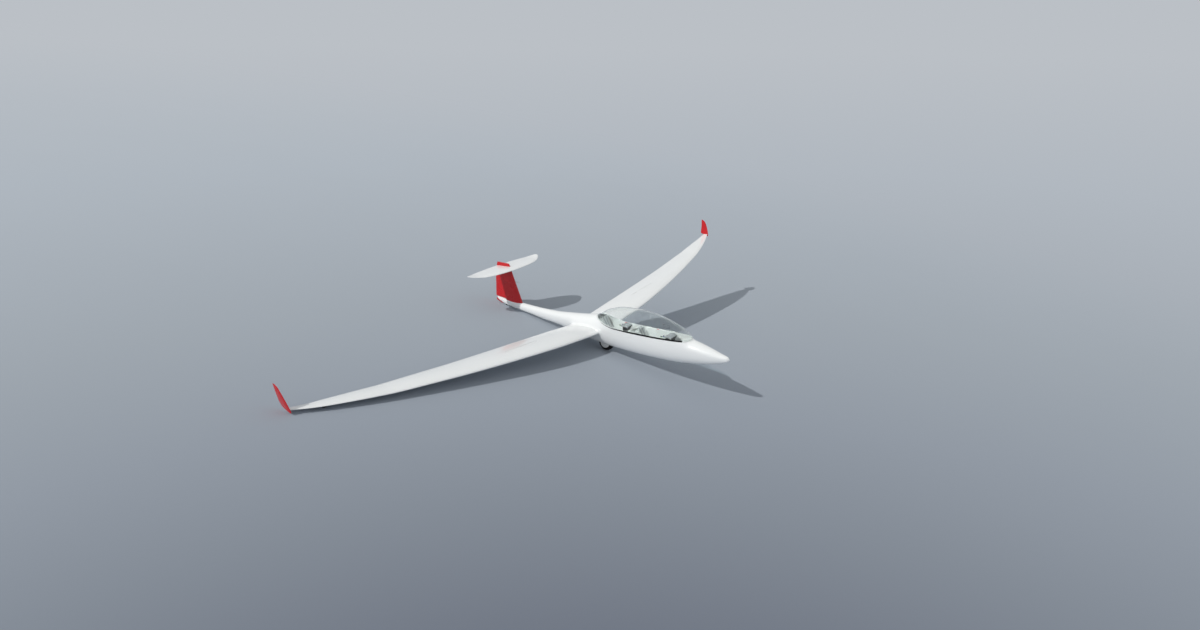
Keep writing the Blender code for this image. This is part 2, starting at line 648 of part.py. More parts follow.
def build_fuselage():
    pod = body("fuselage", end=BOOM_START - FIT, finish="gelcoat_white", cutter=False)
    root = [wing_ring(ROOT_X, side) for side in (-1, 1)]
    stub = [[(side * (ROOT_X - FIT), y, z) for _, y, z in ring] for side, ring in zip((-1, 1), root)]
    cut(pod, loft("wing root stub", stub, cutter=True), "UNION")
    cut(pod, above_sill("cockpit opening", 0.0))
    cut(pod, body("cockpit cavity", inset=WALL, start=CAVITY_NOSE_Y, end=BULKHEAD_Y))
    cut(pod, box("well opening", (-WELL_X - FIT, -WELL_Y - FIT, -0.2), (WELL_X + FIT, WELL_Y + FIT, 0.35),
                 cutter=True))

    boom = body("tail_boom", start=BOOM_START, finish="gelcoat_white", cutter=False)
    slot = TAIL_WHEEL_WIDTH / 2 + CLEAR
    centre = Vector((0, TAIL_WHEEL_Y, TAIL_WHEEL_Z))
    across = Vector((1, 0, 0))
    radius = TAIL_WHEEL_RADIUS + 0.012
    cut(boom, cone_between("tail wheel slot", centre - across * slot, centre + across * slot, radius, radius,
                           cutter=True, segments=32))
    cut(boom, cone_between("tail axle hole", centre - across * 0.050, centre + across * 0.050, 0.0063, 0.0063,
                           cutter=True, segments=16))


def build_canopy():
    hinge = (CANOPY_HINGE_X, 0.0, CANOPY_HINGE_Z)
    first, last = SILL[0][0], SILL[-1][0]
    frame = body("canopy_frame", start=first, end=last, finish="frame_black", cutter=False)
    cut(frame, above_sill("frame zone", CLEAR), "INTERSECT")
    cut(frame, body("frame inside", inset=FRAME_THICKNESS, start=first - 0.1, end=last + 0.1))
    cut(frame, above_sill("frame top", CLEAR + FRAME_HEIGHT))
    glass = body("canopy_glass", start=first, end=last, finish="canopy_glass", cutter=False)
    cut(glass, above_sill("glass zone", CLEAR + FRAME_HEIGHT + FIT), "INTERSECT")
    cut(glass, body("glass inside", inset=GLASS, start=first - 0.1, end=last + 0.1))
    for piece in (frame, glass):
        moves_about(piece, hinge)


# Wheels

def build_main_wheel():
    centre = (0.0, 0.0, MAIN_RADIUS)
    r, half = MAIN_RADIUS, MAIN_WIDTH / 2
    side = [(r, 0.010), (r - 0.0025, 0.030), (r - 0.0095, 0.049), (r - 0.024, 0.066), (r - 0.044, 0.077),
            (r - 0.064, half), (RIM_RADIUS + 0.016, half - 0.012), (RIM_RADIUS + FIT, 0.052)]
    tyre = side + [(q, -x) for q, x in reversed(side)]
    turned("main_tyre", tyre[::-1], centre, "rubber_black", 40)
    side = [(RIM_RADIUS, 0.056), (RIM_RADIUS - 0.014, 0.060), (0.118, 0.040), (0.050, 0.034), (0.044, 0.062),
            (0.0125, 0.062)]
    rim = side + [(q, -x) for q, x in reversed(side)]
    turned("main_rim", rim[::-1], centre, "wheel_grey", 40)
    cone_between("main_axle", (-0.1018, 0, MAIN_RADIUS), (0.1018, 0, MAIN_RADIUS), 0.012, 0.012, "steel", segments=20)


def build_wheel_well():
    outer_x, outer_y = WELL_X, WELL_Y
    well = box("wheel_well", (-outer_x, -outer_y, 0.0), (outer_x, outer_y, WELL_TOP), "cockpit_grey")
    cut(well, box("well inside", (-outer_x + WELL_WALL, -outer_y + WELL_WALL, -0.1),
                  (outer_x - WELL_WALL, outer_y - WELL_WALL, WELL_TOP - WELL_WALL), cutter=True))
    cut(well, body("well skin", start=-1.15, end=1.0), "INTERSECT")
    roof = WELL_TOP - WELL_WALL - FIT
    bracket = box("gear_bracket", (-0.102, -0.045, roof - 0.012), (0.102, 0.045, roof), "steel")
    for side in (-1, 1):
        xs = sorted((side * 0.090, side * 0.1019))
        outline = [(-0.045, roof - 0.006), (0.045, roof - 0.006), (0.030, MAIN_RADIUS), (0.018, MAIN_RADIUS - 0.032),
                   (-0.018, MAIN_RADIUS - 0.032), (-0.030, MAIN_RADIUS)]
        cut(bracket, prism(f"bracket leg {side}", outline[::-1], xs[0], xs[1], cutter=True), "UNION")
    cut(bracket, cone_between("bracket bore", (-0.2, 0, MAIN_RADIUS), (0.2, 0, MAIN_RADIUS), 0.0123, 0.0123,
                              cutter=True, segments=20))


def build_gear_doors():
    """Two doors that hang beside the wheel, cut to the wheel's curve below."""
    for side in (1, -1):
        outline = [(-DOOR_REACH, DOOR_TOP), (DOOR_REACH, DOOR_TOP)]
        low = math.degrees(math.acos((DOOR_REACH - 0.004) / DOOR_RADIUS))
        for k in range(13):
            angle = math.radians(-low - (180 - 2 * low) * k / 12)
            outline.append((DOOR_RADIUS * math.cos(angle), MAIN_RADIUS + DOOR_RADIUS * math.sin(angle)))
        xs = sorted((side * DOOR_X, side * (WELL_X - WELL_WALL - FIT)))
        prism(f"gear_door_{side_word(side)}", outline, xs[0], xs[1], finish="gelcoat_white")


def build_tail_wheel():
    centre = (0.0, TAIL_WHEEL_Y, TAIL_WHEEL_Z)
    r, half = TAIL_WHEEL_RADIUS, TAIL_WHEEL_WIDTH / 2
    side = [(r, 0.006), (r - 0.003, 0.015), (r - 0.010, 0.022), (r - 0.022, half), (TAIL_RIM_RADIUS + FIT, 0.017)]
    tyre = side + [(q, -x) for q, x in reversed(side)]
    turned("tail_tyre", tyre[::-1], centre, "rubber_black", 32)
    side = [(TAIL_RIM_RADIUS, 0.017), (0.020, 0.012), (0.016, 0.022), (0.0063, 0.022)]
    hub = side + [(q, -x) for q, x in reversed(side)]
    turned("tail_hub", hub[::-1], centre, "wheel_grey", 32)
    cone_between("tail_axle", (-0.0495, TAIL_WHEEL_Y, TAIL_WHEEL_Z), (0.0495, TAIL_WHEEL_Y, TAIL_WHEEL_Z), 0.006,
                 0.006, "steel", segments=16)


# Cockpit

def bent_plate(name, line, half_width, thickness, finish, offset=0.0):
    """A plate of even thickness along a (y, z) line, offset from it by a distance towards its upper side."""
    points = [Vector(p) for p in line]
    normals = []
    for i in range(len(points)):
        runs = []
        if i > 0:
            runs.append((points[i] - points[i - 1]).normalized())
        if i < len(points) - 1:
            runs.append((points[i + 1] - points[i]).normalized())
        square = [Vector((-run.y, run.x)) for run in runs]
        mean = (square[0] + square[-1]).normalized()
        normals.append(mean / mean.dot(square[0]))
    upper = [p + n * (offset + thickness / 2) for p, n in zip(points, normals)]
    lower = [p + n * (offset - thickness / 2) for p, n in zip(points, normals)]
    outline = [(p.x, p.y) for p in upper + lower[::-1]]
    return prism(name, outline, -half_width, half_width, finish=finish)


def build_cockpit():
    keep_in = body("cockpit lining", inset=WALL + FIT, start=CAVITY_NOSE_Y + 0.01, end=BULKHEAD_Y - FIT)
    floor = box("cockpit_floor", (-0.30, -3.20, FLOOR_Z - 0.012), (0.30, -0.86, FLOOR_Z), "cockpit_grey")
    cut(floor, keep_in, "INTERSECT")
    pad_offset = SEAT_THICKNESS / 2 + FIT + PAD_THICKNESS / 2
    for place, (pan, back) in SEATS.items():
        seat = bent_plate(f"seat_{place}", pan + back, 0.245, SEAT_THICKNESS, "cockpit_grey")
        cut(seat, keep_in, "INTERSECT")
        cushion = bent_plate(f"cushion_{place}", pan[:-1], 0.205, PAD_THICKNESS, "seat_fabric", pad_offset)
        round_edges(cushion, 0.008)
        (y0, z0), (y1, z1) = back[0], back[-1]
        start, end = 0.10, 1.03
        line = [(y0 + (y1 - y0) * start, z0 + (z1 - z0) * start), (y0 + (y1 - y0) * end, z0 + (z1 - z0) * end)]
        rest = bent_plate(f"backrest_{place}", line, 0.19, PAD_THICKNESS, "seat_fabric", pad_offset)
        round_edges(rest, 0.008)
    for place, (y, low, high, half, foot) in PANELS.items():
        outline = [(y, low), (y + 0.02, high), (y - 0.05, high + 0.012), (y - 0.17, high - 0.03), (y - 0.09, low)]
        panel = prism(f"instrument_panel_{place}", outline, -half, half, finish="panel_black")
        post = box(f"{panel.name} post", (-foot, y - 0.075, FLOOR_Z + FIT), (foot, y - 0.015, low + 0.02),
                   cutter=True)
        cut(panel, post, "UNION")
        cut(panel, keep_in, "INTERSECT")
    for place, (y, high) in STICKS.items():
        foot = FLOOR_Z + FIT
        piece = cone_between(f"stick_{place}", (0, y, foot), (0, y, foot + 0.05), 0.034, 0.015, "panel_black",
                             segments=20)
        for name, start, end, r0, r1 in (
            ("shaft", (0, y, foot + 0.03), (0, y + 0.015, high - 0.10), 0.010, 0.010),
            ("grip", (0, y + 0.015, high - 0.115), (0, y + 0.008, high), 0.014, 0.018),
        ):
            cut(piece, cone_between(f"stick {place} {name}", start, end, r0, r1, cutter=True, segments=14), "UNION")
    bar = box("pedals_front", (-0.155, PEDAL_Y - 0.012, FLOOR_Z + FIT), (0.155, PEDAL_Y + 0.012, FLOOR_Z + 0.020),
              "steel")
    for side in (-1, 1):
        x = side * 0.105
        tread = box(f"pedal {side}", (x - 0.048, PEDAL_Y - 0.010, FLOOR_Z + 0.010), (x + 0.048, PEDAL_Y + 0.010,
                    FLOOR_Z + 0.200), cutter=True)
        cut(bar, tread, "UNION")
    cut(bar, keep_in, "INTERSECT")


def build_wings():
    for side in (1, -1):
        word = side_word(side)
        inner = wing_panel(f"wing_{word}", side, ROOT_X, PANEL_JOINT_X, "gelcoat_white")
        make_room_for_aileron(inner, "inner", side)
        make_room_for_airbrake(inner, side)
        outer = wing_panel(f"wing_tip_{word}", side, PANEL_JOINT_X + FIT, TIP_X + 0.07, "gelcoat_white")
        make_room_for_aileron(outer, "outer", side)
        cut(outer, winglet(f"{outer.name} winglet", side, grow=FIT, cutter=True))
        ends = sorted((side * 9.895, side * 10.3))
        cut(outer, box(f"{outer.name} end", (ends[0], 0.9, 1.2), (ends[1], 2.4, 2.4), cutter=True))
        winglet(f"winglet_{word}", side, finish="signal_red")
        tip_skid(side)
        airbrake(side)
        for part in AILERONS:
            aileron(part, side)


# Parked attitude

def ground_points(names):
    bpy.context.view_layer.update()
    graph = bpy.context.evaluated_depsgraph_get()
    found = []
    for name in names:
        evaluated = bpy.data.objects[name].evaluated_get(graph)
        mesh = evaluated.to_mesh()
        found.append([evaluated.matrix_world @ v.co for v in mesh.vertices])
        evaluated.to_mesh_clear()
    return found


def attitude(pitch, roll, lift):
    """Nose up by the pitch, then port wing down by the roll, or starboard wing if it is negative, then raised."""
    turn = Matrix.Rotation(roll, 4, "Y") @ Matrix.Rotation(-pitch, 4, "X")
    return Matrix.Translation((0, 0, lift)) @ turn


def lowest(points, values):
    matrix = attitude(*values)
    return Vector([min((matrix @ p).z for p in group) for group in points])


def park():
    """Finds the attitude in which both wheels and the starboard skid touch the ground, and hangs all pieces on it.

    The middle of the parked glider's outline comes over the origin."""
    points = ground_points(["main_tyre", "tail_tyre", "tip_skid_starboard"])
    values = Vector((math.radians(9), math.radians(-7), 0.0))
    step = 1e-5
    for _ in range(12):
        heights = lowest(points, values)
        slopes = Matrix.Identity(3)
        for k in range(3):
            moved = values.copy()
            moved[k] += step
            change = (lowest(points, moved) - heights) / step
            for row in range(3):
                slopes[row][k] = change[row]
        values = values - slopes.inverted() @ heights
    matrix = attitude(*values)
    everything = [matrix @ p for group in ground_points([o.name for o in glider.objects]) for p in group]
    for axis in range(2):
        reach = [p[axis] for p in everything]
        matrix[axis][3] -= (min(reach) + max(reach)) / 2
    stand = bpy.data.objects.new("parked", None)
    glider.objects.link(stand)
    stand.matrix_world = matrix
    for obj in list(glider.objects) + list(helpers.objects):
        if obj is not stand:
            obj.parent = stand
    print(f"parked: pitch {math.degrees(values[0]):.4f}, roll {math.degrees(values[1]):.4f}, lift {values[2]:.5f}")


build_fuselage()
build_canopy()
build_wings()
build_tail()
build_main_wheel()
build_wheel_well()
build_gear_doors()
build_tail_wheel()
build_cockpit()
park()
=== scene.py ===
# %% [markdown]
# # A two-seat sailplane, finished for its portrait
#
# The solids of this glider come from a CAD model that already has every hinge, wheel and
# control surface in its place. This lesson gives that frame the surfaces that the eye
# expects: polished gelcoat, a clear canopy, upholstery, instruments and rubber. Lengths
# are in metres, and the Z axis points up from the ground that the glider is parked on.

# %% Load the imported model
import json
import math

import bmesh
import bpy
from mathutils import Matrix, Vector

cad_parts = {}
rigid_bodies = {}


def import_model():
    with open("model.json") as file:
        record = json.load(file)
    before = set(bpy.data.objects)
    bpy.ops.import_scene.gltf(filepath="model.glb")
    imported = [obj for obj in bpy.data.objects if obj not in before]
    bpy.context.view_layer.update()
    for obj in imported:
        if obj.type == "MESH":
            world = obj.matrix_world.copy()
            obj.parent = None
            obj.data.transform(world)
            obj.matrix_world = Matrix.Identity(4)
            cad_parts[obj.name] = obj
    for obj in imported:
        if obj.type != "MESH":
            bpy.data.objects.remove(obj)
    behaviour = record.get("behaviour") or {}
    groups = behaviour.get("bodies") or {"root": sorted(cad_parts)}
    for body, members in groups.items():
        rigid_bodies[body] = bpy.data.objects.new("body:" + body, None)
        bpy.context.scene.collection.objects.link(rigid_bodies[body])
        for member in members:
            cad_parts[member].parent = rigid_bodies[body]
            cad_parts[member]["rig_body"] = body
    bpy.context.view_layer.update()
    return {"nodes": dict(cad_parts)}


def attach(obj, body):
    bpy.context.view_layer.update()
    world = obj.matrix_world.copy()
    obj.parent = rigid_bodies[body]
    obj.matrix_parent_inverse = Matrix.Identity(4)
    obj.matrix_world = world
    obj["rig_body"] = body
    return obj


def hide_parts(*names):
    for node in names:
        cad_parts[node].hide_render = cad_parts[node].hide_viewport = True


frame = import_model()

# %% [markdown]
# ## Working in the glider's own axes
#
# A sailplane is symmetrical about a plane that stands upright only in level flight. On
# the ground it sits on its tail wheel and leans on one wing tip, so nothing is straight in
# world axes. Every new piece is therefore modelled level, with the nose towards -Y, the
# port wing towards +X and Z as the height over the main wheel's foot. One matrix then
# takes the finished mesh to where the parked glider stands.

# %% The parked attitude
PITCH = math.radians(9.1030)
ROLL = math.radians(-6.8823)
FOOT = Vector((0.213776, -0.378587, 0.004511))
PARKED = Matrix.Translation(FOOT) @ Matrix.Rotation(ROLL, 4, "Y") @ Matrix.Rotation(-PITCH, 4, "X")
LEVEL = PARKED.inverted()
SIDES = ((1, "port"), (-1, "starboard"))
print("the canopy's middle is parked at", [round(v, 3) for v in PARKED @ Vector((0, -1.3, 1.2))])

# %% [markdown]
# ## Small helpers
#
# Operators act on whatever is selected, so each step first clears the selection and then
# picks one object. Faces and vertices are chosen in code by where they are. `set_down`
# is the last call for a piece: it writes the piece's place into its mesh and leaves the
# object itself at the origin.

# %% Selecting, editing and placing
def only(obj):
    """Makes obj the one selected and active object."""
    bpy.ops.object.select_all(action="DESELECT")
    obj.select_set(True)
    bpy.context.view_layer.objects.active = obj
    return obj


def pick(obj, test, kind="VERT"):
    """In edit mode, selects the vertices, edges or faces whose middle passes the test."""
    bpy.ops.mesh.select_mode(type=kind)
    bpy.ops.mesh.select_all(action="DESELECT")
    shape = bmesh.from_edit_mesh(obj.data)
    found = {"VERT": shape.verts, "EDGE": shape.edges, "FACE": shape.faces}[kind]
    for item in found:
        if kind == "VERT":
            middle = item.co
        elif kind == "EDGE":
            middle = (item.verts[0].co + item.verts[1].co) / 2
        else:
            middle = item.calc_center_median()
        if test(middle):
            item.select = True
    shape.select_flush_mode()
    bmesh.update_edit_mesh(obj.data)


def outwards(obj):
    """Joins doubled points and turns every face outwards."""
    only(obj)
    bpy.ops.object.mode_set(mode="EDIT")
    bpy.ops.mesh.select_all(action="SELECT")
    bpy.ops.mesh.remove_doubles(threshold=0.00001)
    bpy.ops.mesh.normals_make_consistent(inside=False)
    bpy.ops.object.mode_set(mode="OBJECT")


def apply_modifiers(obj):
    """Applies what is on the stack, first to last."""
    only(obj)
    for modifier in list(obj.modifiers):
        bpy.ops.object.modifier_apply(modifier=modifier.name)


def draped(rows, closed=False, ends=False):
    """A grid primitive laid through rows of points. Closed, it is joined along its seam."""
    if closed:
        rows = [[*row, row[0]] for row in rows]
    bpy.ops.object.select_all(action="DESELECT")
    bpy.ops.mesh.primitive_grid_add(x_subdivisions=len(rows[0]) - 1, y_subdivisions=len(rows) - 1)
    obj = bpy.context.object
    for vertex, point in zip(obj.data.vertices, [point for row in rows for point in row]):
        vertex.co = point
    outwards(obj)
    if ends:
        bpy.ops.object.mode_set(mode="EDIT")
        bpy.ops.mesh.select_all(action="SELECT")
        bpy.ops.mesh.fill_holes(sides=0)
        bpy.ops.mesh.normals_make_consistent(inside=False)
        bpy.ops.object.mode_set(mode="OBJECT")
    return obj


def joined(pieces):
    """Makes one object of several, each with its own materials."""
    bpy.context.view_layer.update()
    bpy.ops.object.select_all(action="DESELECT")
    for piece in pieces:
        piece.select_set(True)
    bpy.context.view_layer.objects.active = pieces[0]
    bpy.ops.object.join()
    return pieces[0]


def carve(obj, cutter):
    """Applies one Boolean and removes its cutter. The cut faces keep the cutter's material."""
    only(obj)
    step = obj.modifiers.new("cut", "BOOLEAN")
    step.operation = "DIFFERENCE"
    step.object = cutter
    step.solver = "EXACT"
    step.material_mode = "TRANSFER"
    bpy.ops.object.modifier_apply(modifier=step.name)
    bpy.data.objects.remove(cutter, do_unlink=True)
    return obj


def smooth(obj, degrees=40):
    """Smooth shading, with an edge kept wherever two faces meet at more than these degrees."""
    only(obj)
    bpy.ops.object.shade_smooth_by_angle(angle=math.radians(degrees))
    return obj


def even_shading(obj, degrees=40):
    """Smooth shading in which large faces count for more than the slivers beside a cut."""
    smooth(obj, degrees)
    weigh = obj.modifiers.new("even", "WEIGHTED_NORMAL")
    weigh.keep_sharp = True
    weigh.weight = 80
    bpy.ops.object.modifier_apply(modifier=weigh.name)
    return obj


def round_off(obj, width, segments=3, degrees=40):
    """Bevels the edges that are sharper than these degrees."""
    soft = obj.modifiers.new("rounded", "BEVEL")
    soft.width = width
    soft.segments = segments
    soft.limit_method = "ANGLE"
    soft.angle_limit = math.radians(degrees)
    apply_modifiers(obj)
    return smooth(obj)


def thicken(obj, depth):
    """Gives an open surface its wall, inwards."""
    wall = obj.modifiers.new("wall", "SOLIDIFY")
    wall.thickness = depth
    wall.offset = -1
    wall.use_even_offset = False
    apply_modifiers(obj)
    return obj


def painted(obj, finish):
    """Gives a part its one finish."""
    obj.data.materials.clear()
    obj.data.materials.append(finish)
    return obj


def own_copy(node, name, level=False):
    """A copy of a CAD node, whose loose triangles are joined. The node stays as it is."""
    made = bpy.data.objects.new(name, frame["nodes"][node].data.copy())
    bpy.context.scene.collection.objects.link(made)
    if level:
        made.data.transform(LEVEL)
    outwards(made)
    return made


def tube(radius, depth, place=(0, 0, 0), vertices=32, rotation=(0, 0, 0)):
    """A cylinder as the start of a round part."""
    bpy.ops.mesh.primitive_cylinder_add(
        vertices=vertices, radius=radius, depth=depth, location=place, rotation=rotation)
    return only(bpy.context.object)


def block(size, place=(0, 0, 0), rotation=(0, 0, 0)):
    """A cube as the start of a square part."""
    bpy.ops.mesh.primitive_cube_add(size=1, scale=size, location=place, rotation=rotation)
    return only(bpy.context.object)


def set_down(obj, name, body="glider", finish=None, replaces=(), level=True):
    """Names a finished piece, writes its place into its mesh and lets it ride on a body."""
    bpy.context.view_layer.update()
    obj.name = obj.data.name = name
    obj.data.transform((PARKED if level else Matrix.Identity(4)) @ obj.matrix_world)
    obj.matrix_world = Matrix.Identity(4)
    if finish:
        painted(obj, finish)
    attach(obj, body)
    if replaces:
        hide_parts(*replaces)
    return obj


print("helpers are ready")

# %% [markdown]
# ## Colours and nodes
#
# Colours are read off swatches as sRGB hex values, while Blender's shaders work in linear
# light, so one function converts them. A second one adds a shader node, sets what it is
# given and makes the links, which keeps each material down to a few readable lines.

# %% Helpers for materials
def linear(hex_colour):
    """An sRGB hex value as linear red, green, blue and alpha."""
    parts = [int(hex_colour[k:k + 2], 16) / 255 for k in (0, 2, 4)]
    return (*[p / 12.92 if p <= 0.04045 else ((p + 0.055) / 1.055) ** 2.4 for p in parts], 1.0)


def add_node(tree, kind, settings=None, inputs=None):
    """Adds a node. An input that is given as a socket is linked, and any other is set."""
    node = tree.nodes.new("ShaderNode" + kind)
    for key, value in (settings or {}).items():
        setattr(node, key, value)
    for key, value in (inputs or {}).items():
        if isinstance(value, bpy.types.NodeSocket):
            tree.links.new(value, node.inputs[key])
        else:
            node.inputs[key].default_value = value
    return node


def new_material(name, **sockets):
    """A Principled material, its tree and shader, and points in the glider's level axes."""
    made = bpy.data.materials.new(name)
    made.use_nodes = True
    tree = made.node_tree
    shader = tree.nodes["Principled BSDF"]
    for key, value in sockets.items():
        shader.inputs[key.replace("_", " ").replace("ior", "IOR")].default_value = value
    where = add_node(tree, "TexCoord")
    in_level_axes = add_node(tree, "Mapping", inputs={
        "Vector": where.outputs["Object"],
        "Location": LEVEL.translation,
        "Rotation": LEVEL.to_euler("XYZ"),
    })
    return made, tree, shader, in_level_axes.outputs["Vector"]


def feed(tree, shader, **links):
    """Links some outputs to the shader's sockets of these names."""
    for key, socket in links.items():
        tree.links.new(socket, shader.inputs[key.replace("_", " ")])


print("pure red is", [round(v, 2) for v in linear("FF0000")])

# %% [markdown]
# ## White gelcoat
#
# The hull and the wings are laid up in moulds, and the first layer in the mould is a
# polyester gelcoat, which is sanded and polished by hand. It is a warm white with a soft
# gloss. Up close it keeps a trace of the sanding in its gloss, the cloth below it shows
# as a very shallow wave, and dust from the ground clings to the belly round the wheel.

# %% Gelcoat
def polished_gelcoat():
    """Mould-polished polyester: bright and glossy, with a faint sanding trace and belly dust."""
    made, tree, shader, place = new_material(
        "polished_white_gelcoat", ior=1.54, Coat_Weight=0.35, Coat_Roughness=0.06)
    patches = add_node(tree, "TexNoise", inputs={"Vector": place, "Scale": 0.9, "Detail": 3.0})
    # The sanding block is about 110 mm long, and so is one patch of its trace
    swirl = add_node(tree, "TexNoise", inputs={
        "Vector": place, "Scale": 9.0, "Detail": 3.0, "Roughness": 0.5})
    tone = add_node(tree, "Mix", {"data_type": "RGBA"}, {
        0: patches.outputs["Fac"], 6: linear("EDEEED"), 7: linear("E8EAEA")})
    split = add_node(tree, "SeparateXYZ", inputs={"Vector": place})
    low = add_node(tree, "MapRange", inputs={
        "Value": split.outputs["Z"], "From Min": 0.42, "From Max": 0.18, "To Max": 1.0})
    near = add_node(tree, "VectorMath", {"operation": "DISTANCE"}, {0: place, 1: (0.0, 0.35, 0.25)})
    wheel = add_node(tree, "MapRange", inputs={
        "Value": near.outputs["Value"], "From Min": 1.5, "From Max": 0.2, "To Max": 0.55})
    both = add_node(tree, "Math", {"operation": "MULTIPLY"}, {
        0: low.outputs["Result"], 1: wheel.outputs["Result"]})
    dust = add_node(tree, "Math", {"operation": "MULTIPLY"}, {
        0: both.outputs["Value"], 1: swirl.outputs["Fac"]})
    soiled = add_node(tree, "Mix", {"data_type": "RGBA"}, {
        0: dust.outputs["Value"], 6: tone.outputs[2], 7: linear("A8A294")})
    gloss = add_node(tree, "MapRange", inputs={
        "Value": swirl.outputs["Fac"], "From Min": 0.2, "From Max": 0.8, "To Min": 0.23, "To Max": 0.27})
    # Threads of the glass cloth below are 1 mm apart; drawn as a soft wave of about 60 mm
    wave = add_node(tree, "TexNoise", inputs={"Vector": place, "Scale": 16.0, "Detail": 1.0})
    bump = add_node(tree, "Bump", inputs={
        "Height": wave.outputs["Fac"], "Strength": 0.012, "Distance": 0.002})
    feed(tree, shader, Base_Color=soiled.outputs[2], Roughness=gloss.outputs["Result"],
         Normal=bump.outputs["Normal"])
    return made


GELCOAT = polished_gelcoat()
print("made", GELCOAT.name)

# %% [markdown]
# ## Red acrylic lacquer
#
# The tail and the winglets are sprayed in a signal red. A sprayed finish is never as flat
# as a polished mould: it has the fine dimples called orange peel, a few millimetres
# across. A clear coat over it gives the sharp highlight.

# %% Red lacquer
def red_lacquer():
    """Sprayed acrylic: a deep red, and highlights that break up a little on the orange peel."""
    made, tree, shader, place = new_material(
        "red_acrylic_lacquer", ior=1.45, Coat_Weight=0.15, Coat_Roughness=0.08)
    fade = add_node(tree, "TexNoise", inputs={"Vector": place, "Scale": 2.2, "Detail": 3.0})
    tone = add_node(tree, "Mix", {"data_type": "RGBA"}, {
        0: fade.outputs["Fac"], 6: linear("C81A20"), 7: linear("BC161C")})
    # One dimple is 5.5 mm across
    peel = add_node(tree, "TexNoise", inputs={"Vector": place, "Scale": 180.0, "Detail": 2.0})
    bump = add_node(tree, "Bump", inputs={
        "Height": peel.outputs["Fac"], "Strength": 0.05, "Distance": 0.001})
    gloss = add_node(tree, "MapRange", inputs={
        "Value": fade.outputs["Fac"], "To Min": 0.22, "To Max": 0.34})
    feed(tree, shader, Base_Color=tone.outputs[2], Roughness=gloss.outputs["Result"],
         Normal=bump.outputs["Normal"])
    return made


RED = red_lacquer()
print("made", RED.name)

# %% [markdown]
# ## Clear acrylic
#
# The canopy is blown from cast acrylic sheet, 3 mm thick and very slightly grey. It bends
# light like glass and lets sunlight through to the seats. A ray tracer finds no light
# behind a refracting shell, so for shadow rays alone the shader becomes a clear filter.

# %% Acrylic and dial glass
def clear_acrylic(name, tint, shadow, roughness):
    """Cast acrylic: clear, with sharp reflections and a faint haze from wiping."""
    made, tree, shader, place = new_material(
        name, ior=1.49, Transmission_Weight=1.0, Base_Color=linear(tint))
    haze = add_node(tree, "TexNoise", inputs={"Vector": place, "Scale": 9.0, "Detail": 5.0})
    gloss = add_node(tree, "MapRange", inputs={
        "Value": haze.outputs["Fac"], "From Min": 0.35, "From Max": 0.75,
        "To Min": roughness, "To Max": roughness * 2.5})
    feed(tree, shader, Roughness=gloss.outputs["Result"])
    path = add_node(tree, "LightPath")
    filtering = add_node(tree, "BsdfTransparent", inputs={"Color": linear(shadow)})
    mixed = add_node(tree, "MixShader", inputs={
        0: path.outputs["Is Shadow Ray"], 1: shader.outputs["BSDF"], 2: filtering.outputs["BSDF"]})
    feed(tree, tree.nodes["Material Output"], Surface=mixed.outputs["Shader"])
    return made


ACRYLIC = clear_acrylic("blown_clear_acrylic", "FBFDFD", "F3F6F6", 0.01)
DIAL_GLASS = clear_acrylic("flat_dial_glass", "FFFFFF", "F2F2F2", 0.01)
print("made", ACRYLIC.name, DIAL_GLASS.name)

# %% [markdown]
# ## Rubber, metal and mouldings
#
# Tyres are matt and grey with dust on the tread. The wheel castings are painted a light
# silver. Fittings are zinc-plated steel, which is a dull yellowish silver. Inside, the
# shell is sprayed with a pale grey fleck paint, and the instrument panels have a black
# wrinkle finish, whose tiny ridges are about a millimetre wide.

# %% Rubber, metals and paints
def grained(name, pale, dark, roughness, per_metre, bump, depth, metallic=0.0, **sockets):
    """Two tones and a bump from one noise, with this many grains on a metre."""
    made, tree, shader, place = new_material(name, Metallic=metallic, **sockets)
    grain = add_node(tree, "TexNoise", inputs={
        "Vector": place, "Scale": per_metre, "Detail": 4.0, "Roughness": 0.6})
    wear = add_node(tree, "TexNoise", inputs={"Vector": place, "Scale": 7.0, "Detail": 4.0})
    contrast = add_node(tree, "MapRange", inputs={
        "Value": grain.outputs["Fac"], "From Min": 0.35, "From Max": 0.65})
    tone = add_node(tree, "Mix", {"data_type": "RGBA"}, {
        0: contrast.outputs["Result"], 6: linear(pale), 7: linear(dark)})
    gloss = add_node(tree, "MapRange", inputs={
        "Value": wear.outputs["Fac"], "From Min": 0.3, "From Max": 0.7,
        "To Min": max(roughness - 0.07, 0.02), "To Max": min(roughness + 0.07, 1.0)})
    relief = add_node(tree, "Bump", inputs={
        "Height": grain.outputs["Fac"], "Strength": bump, "Distance": depth})
    feed(tree, shader, Base_Color=tone.outputs[2], Roughness=gloss.outputs["Result"],
         Normal=relief.outputs["Normal"])
    return made


# Moulded rubber scatters light widely, so it looks matt and soft, with a grain of 4 mm
RUBBER = grained("moulded_tyre_rubber", "151516", "0C0C0D", 0.80, 260.0, 0.25, 0.001,
                 Specular_IOR_Level=0.2)
# Paint over a cast surface: a soft silver sheen over a 2.4 mm grain
WHEEL_PAINT = grained("silver_painted_casting", "B9BCBD", "A4A7A8", 0.38, 420.0, 0.12, 0.0005, 0.25)
# Zinc plating is a metal with a dull, slightly yellow shine
ZINC = grained("zinc_plated_steel", "B7B2A2", "9A968A", 0.36, 90.0, 0.06, 0.0005, 1.0)
# Fleck paint is sprayed in drops of 3 mm, pale and matt
FLECK = grained("grey_fleck_paint", "DADEDC", "C0C5C3", 0.62, 330.0, 0.10, 0.0005)
# Wrinkle finish: ridges of 1.4 mm that break up every reflection
WRINKLE = grained("black_wrinkle_finish", "2A2B2C", "161617", 0.55, 700.0, 0.5, 0.0008)
